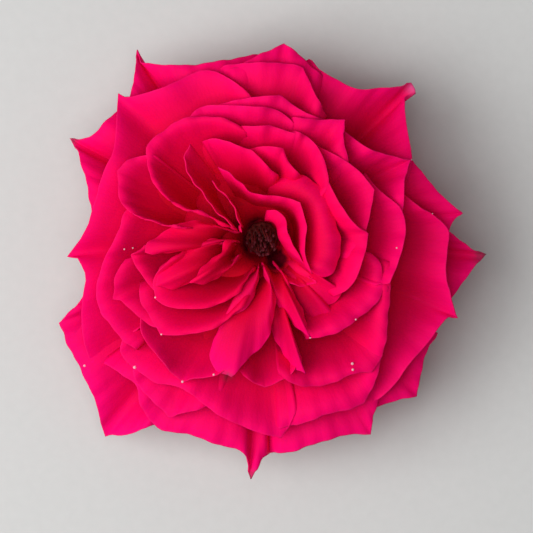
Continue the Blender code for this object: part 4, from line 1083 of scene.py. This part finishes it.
class ROSE_OT_outer_petals(bpy.types.Operator):
    """Build the broad petals inside the guard petals"""

    bl_idname = "rose.outer_petals"
    bl_label = "Outer petals"

    def execute(self, context):
        build_petals("outer_petals", OUTER_PETALS)
        return {"FINISHED"}


class ROSE_OT_upper_petals(bpy.types.Operator):
    """Build the petals above and to the right of the eye"""

    bl_idname = "rose.upper_petals"
    bl_label = "Upper petals"

    def execute(self, context):
        build_petals("upper_petals", UPPER_PETALS)
        return {"FINISHED"}


class ROSE_OT_lower_petals(bpy.types.Operator):
    """Build the cupped petals below and to the left of the eye"""

    bl_idname = "rose.lower_petals"
    bl_label = "Lower petals"

    def execute(self, context):
        build_petals("lower_petals", LOWER_PETALS)
        return {"FINISHED"}


class ROSE_OT_page_petals(bpy.types.Operator):
    """Build the folded petals to the left of the eye"""

    bl_idname = "rose.page_petals"
    bl_label = "Page petals"

    def execute(self, context):
        build_petals("page_petals", PAGE_PETALS)
        return {"FINISHED"}


class ROSE_OT_heart_petals(bpy.types.Operator):
    """Build the petals that stand round the eye"""

    bl_idname = "rose.heart_petals"
    bl_label = "Heart petals"

    def execute(self, context):
        build_petals("heart_petals", HEART_PETALS)
        return {"FINISHED"}


class ROSE_OT_stamens(bpy.types.Operator):
    """Build the disc, the threads and the heads of the stamens"""

    bl_idname = "rose.stamens"
    bl_label = "Stamens"

    def execute(self, context):
        colours = context.scene.rose_colours
        thread = stamen_look("stamen_thread", colours.filament, THREAD_TIP_COLOUR)
        head = stamen_look("stamen_head", colours.anther, HEAD_TIP_COLOUR)
        points, faces = revolved(smooth_line(DISC_OUTLINE, DISC_CELLS[0]), DISC_CELLS[1], *DISC_RIBS)
        new_piece("stamen_disc", points, faces, thread, "stamens")
        # A thread narrows evenly to its tip, and its head is a bead whose middle is that tip
        share = np.linspace(0, 1, THREAD_LINES)
        paths = np.array([stamen_path(ring, i, share) for ring, (_, count, _) in enumerate(STAMEN_RINGS)
                          for i in range(count)])
        points, faces = tubes(paths, np.interp(share, [0, 1], THREAD_RADII), THREAD_SIDES)
        new_piece("stamen_threads", points, faces, thread, "stamens")
        rise, swell = bead(HEAD_LINES)
        middles = paths[:, -1][:, None, :] + rise[:, None] * np.array(HEAD_HALF)
        points, faces = tubes(middles, HEAD_RADIUS * swell, HEAD_SIDES)
        new_piece("stamen_heads", points, faces, head, "stamens")
        return {"FINISHED"}


class ROSE_OT_dew(bpy.types.Operator):
    """Lay small beads of dew on the petals"""

    bl_idname = "rose.dew"
    bl_label = "Dew"

    def execute(self, context):
        graph = context.evaluated_depsgraph_get()
        trees = [BVHTree.FromObject(piece, graph) for piece in context.scene.objects
                 if piece.name.endswith("_petals")]
        # A bead is a flattened ball, seated where a line from above first meets a petal
        rise, swell = bead(DEW_LINES)
        points, faces, offset = [], [], 0
        for x, y, size in DEW_PLACES:
            radius = DEW_SHARE * size
            above = Vector(((x + EYE_X) * MM, (y + EYE_Y) * MM, DEW_FALL))
            hits = [tree.ray_cast(above, Vector((0, 0, -1)))[0] for tree in trees]
            top = max(hit.z for hit in hits if hit is not None) / MM
            middle = np.array([x, y, top + DEW_SEAT * radius])
            path = middle + rise[:, None] * np.array([0.0, 0.0, DEW_FLATNESS * radius])
            drop, quads = tubes(path[None], radius * swell, DEW_SIDES)
            points.append(drop)
            faces += [[corner + offset for corner in quad] for quad in quads]
            offset += len(drop)
        new_piece("dew", np.vstack(points), faces, dew_look("dew_water"), None)
        return {"FINISHED"}


class ROSE_OT_stage(bpy.types.Operator):
    """Build the plain floor, the soft light and the camera"""

    bl_idname = "rose.stage"
    bl_label = "Stage"

    def execute(self, context):
        scene = context.scene
        mesh = bpy.data.meshes.new("floor")
        corners = [(FLOOR_HALF * a, FLOOR_HALF * b, 0) for a, b in ((-1, -1), (1, -1), (1, 1), (-1, 1))]
        mesh.from_pydata(corners, [], [(0, 1, 2, 3)])
        mesh.materials.append(floor_look("pale_floor", scene.rose_colours.floor))
        floor = bpy.data.objects.new("floor", mesh)
        scene.collection.objects.link(floor)
        world = bpy.data.worlds.new("room")
        world.use_nodes = True
        world.node_tree.nodes["Background"].inputs["Color"].default_value = ROOM_COLOUR
        world.node_tree.nodes["Background"].inputs["Strength"].default_value = ROOM_STRENGTH
        scene.world = world
        for name, where, size, energy in LIGHTS:
            lamp = bpy.data.lights.new(name, "AREA")
            lamp.size = size
            lamp.energy = energy
            made = bpy.data.objects.new(name, lamp)
            made.location = where
            made.rotation_euler = (Vector(LIGHT_AIM) - made.location).to_track_quat("-Z", "Y").to_euler()
            scene.collection.objects.link(made)
        camera = bpy.data.cameras.new("camera")
        camera.sensor_width = SENSOR
        camera.lens = SENSOR * VIEW_HEIGHT / VIEW_WIDTH
        camera.clip_end = VIEW_END
        made = bpy.data.objects.new("camera", camera)
        made.location = ((VIEW_X + EYE_X) * MM, (VIEW_Y + EYE_Y) * MM, (VIEW_HEIGHT + VIEW_FOCUS) * MM)
        scene.collection.objects.link(made)
        scene.camera = made
        scene.view_settings.view_transform = "Standard"
        return {"FINISHED"}


class ROSE_PT_panel(bpy.types.Panel):
    """Sizes, colours and pieces of the rose"""

    bl_idname = "ROSE_PT_panel"
    bl_label = "Garden rose"
    bl_space_type = "VIEW_3D"
    bl_region_type = "UI"
    bl_category = "Rose"

    def draw(self, context):
        for group in (context.scene.rose_sizes, context.scene.rose_colours):
            box = self.layout.box()
            for key in group.__annotations__:
                box.prop(group, key)
        for step in OPERATORS:
            self.layout.operator(step.bl_idname)


OPERATORS = (ROSE_OT_stem, ROSE_OT_calyx, ROSE_OT_petal_base, ROSE_OT_guard_petals, ROSE_OT_outer_petals,
             ROSE_OT_upper_petals, ROSE_OT_lower_petals, ROSE_OT_page_petals, ROSE_OT_heart_petals,
             ROSE_OT_stamens, ROSE_OT_dew, ROSE_OT_stage)
CLASSES = (RoseSizes, RoseColours, *OPERATORS, ROSE_PT_panel)


def register():
    for made in CLASSES:
        bpy.utils.register_class(made)
    bpy.types.Scene.rose_sizes = bpy.props.PointerProperty(type=RoseSizes)
    bpy.types.Scene.rose_colours = bpy.props.PointerProperty(type=RoseColours)


def unregister():
    del bpy.types.Scene.rose_sizes
    del bpy.types.Scene.rose_colours
    for made in reversed(CLASSES):
        bpy.utils.unregister_class(made)


def main():
    register()
    for step in OPERATORS:
        group, action = step.bl_idname.split(".")
        getattr(getattr(bpy.ops, group), action)()


if __name__ == "__main__":
    main()
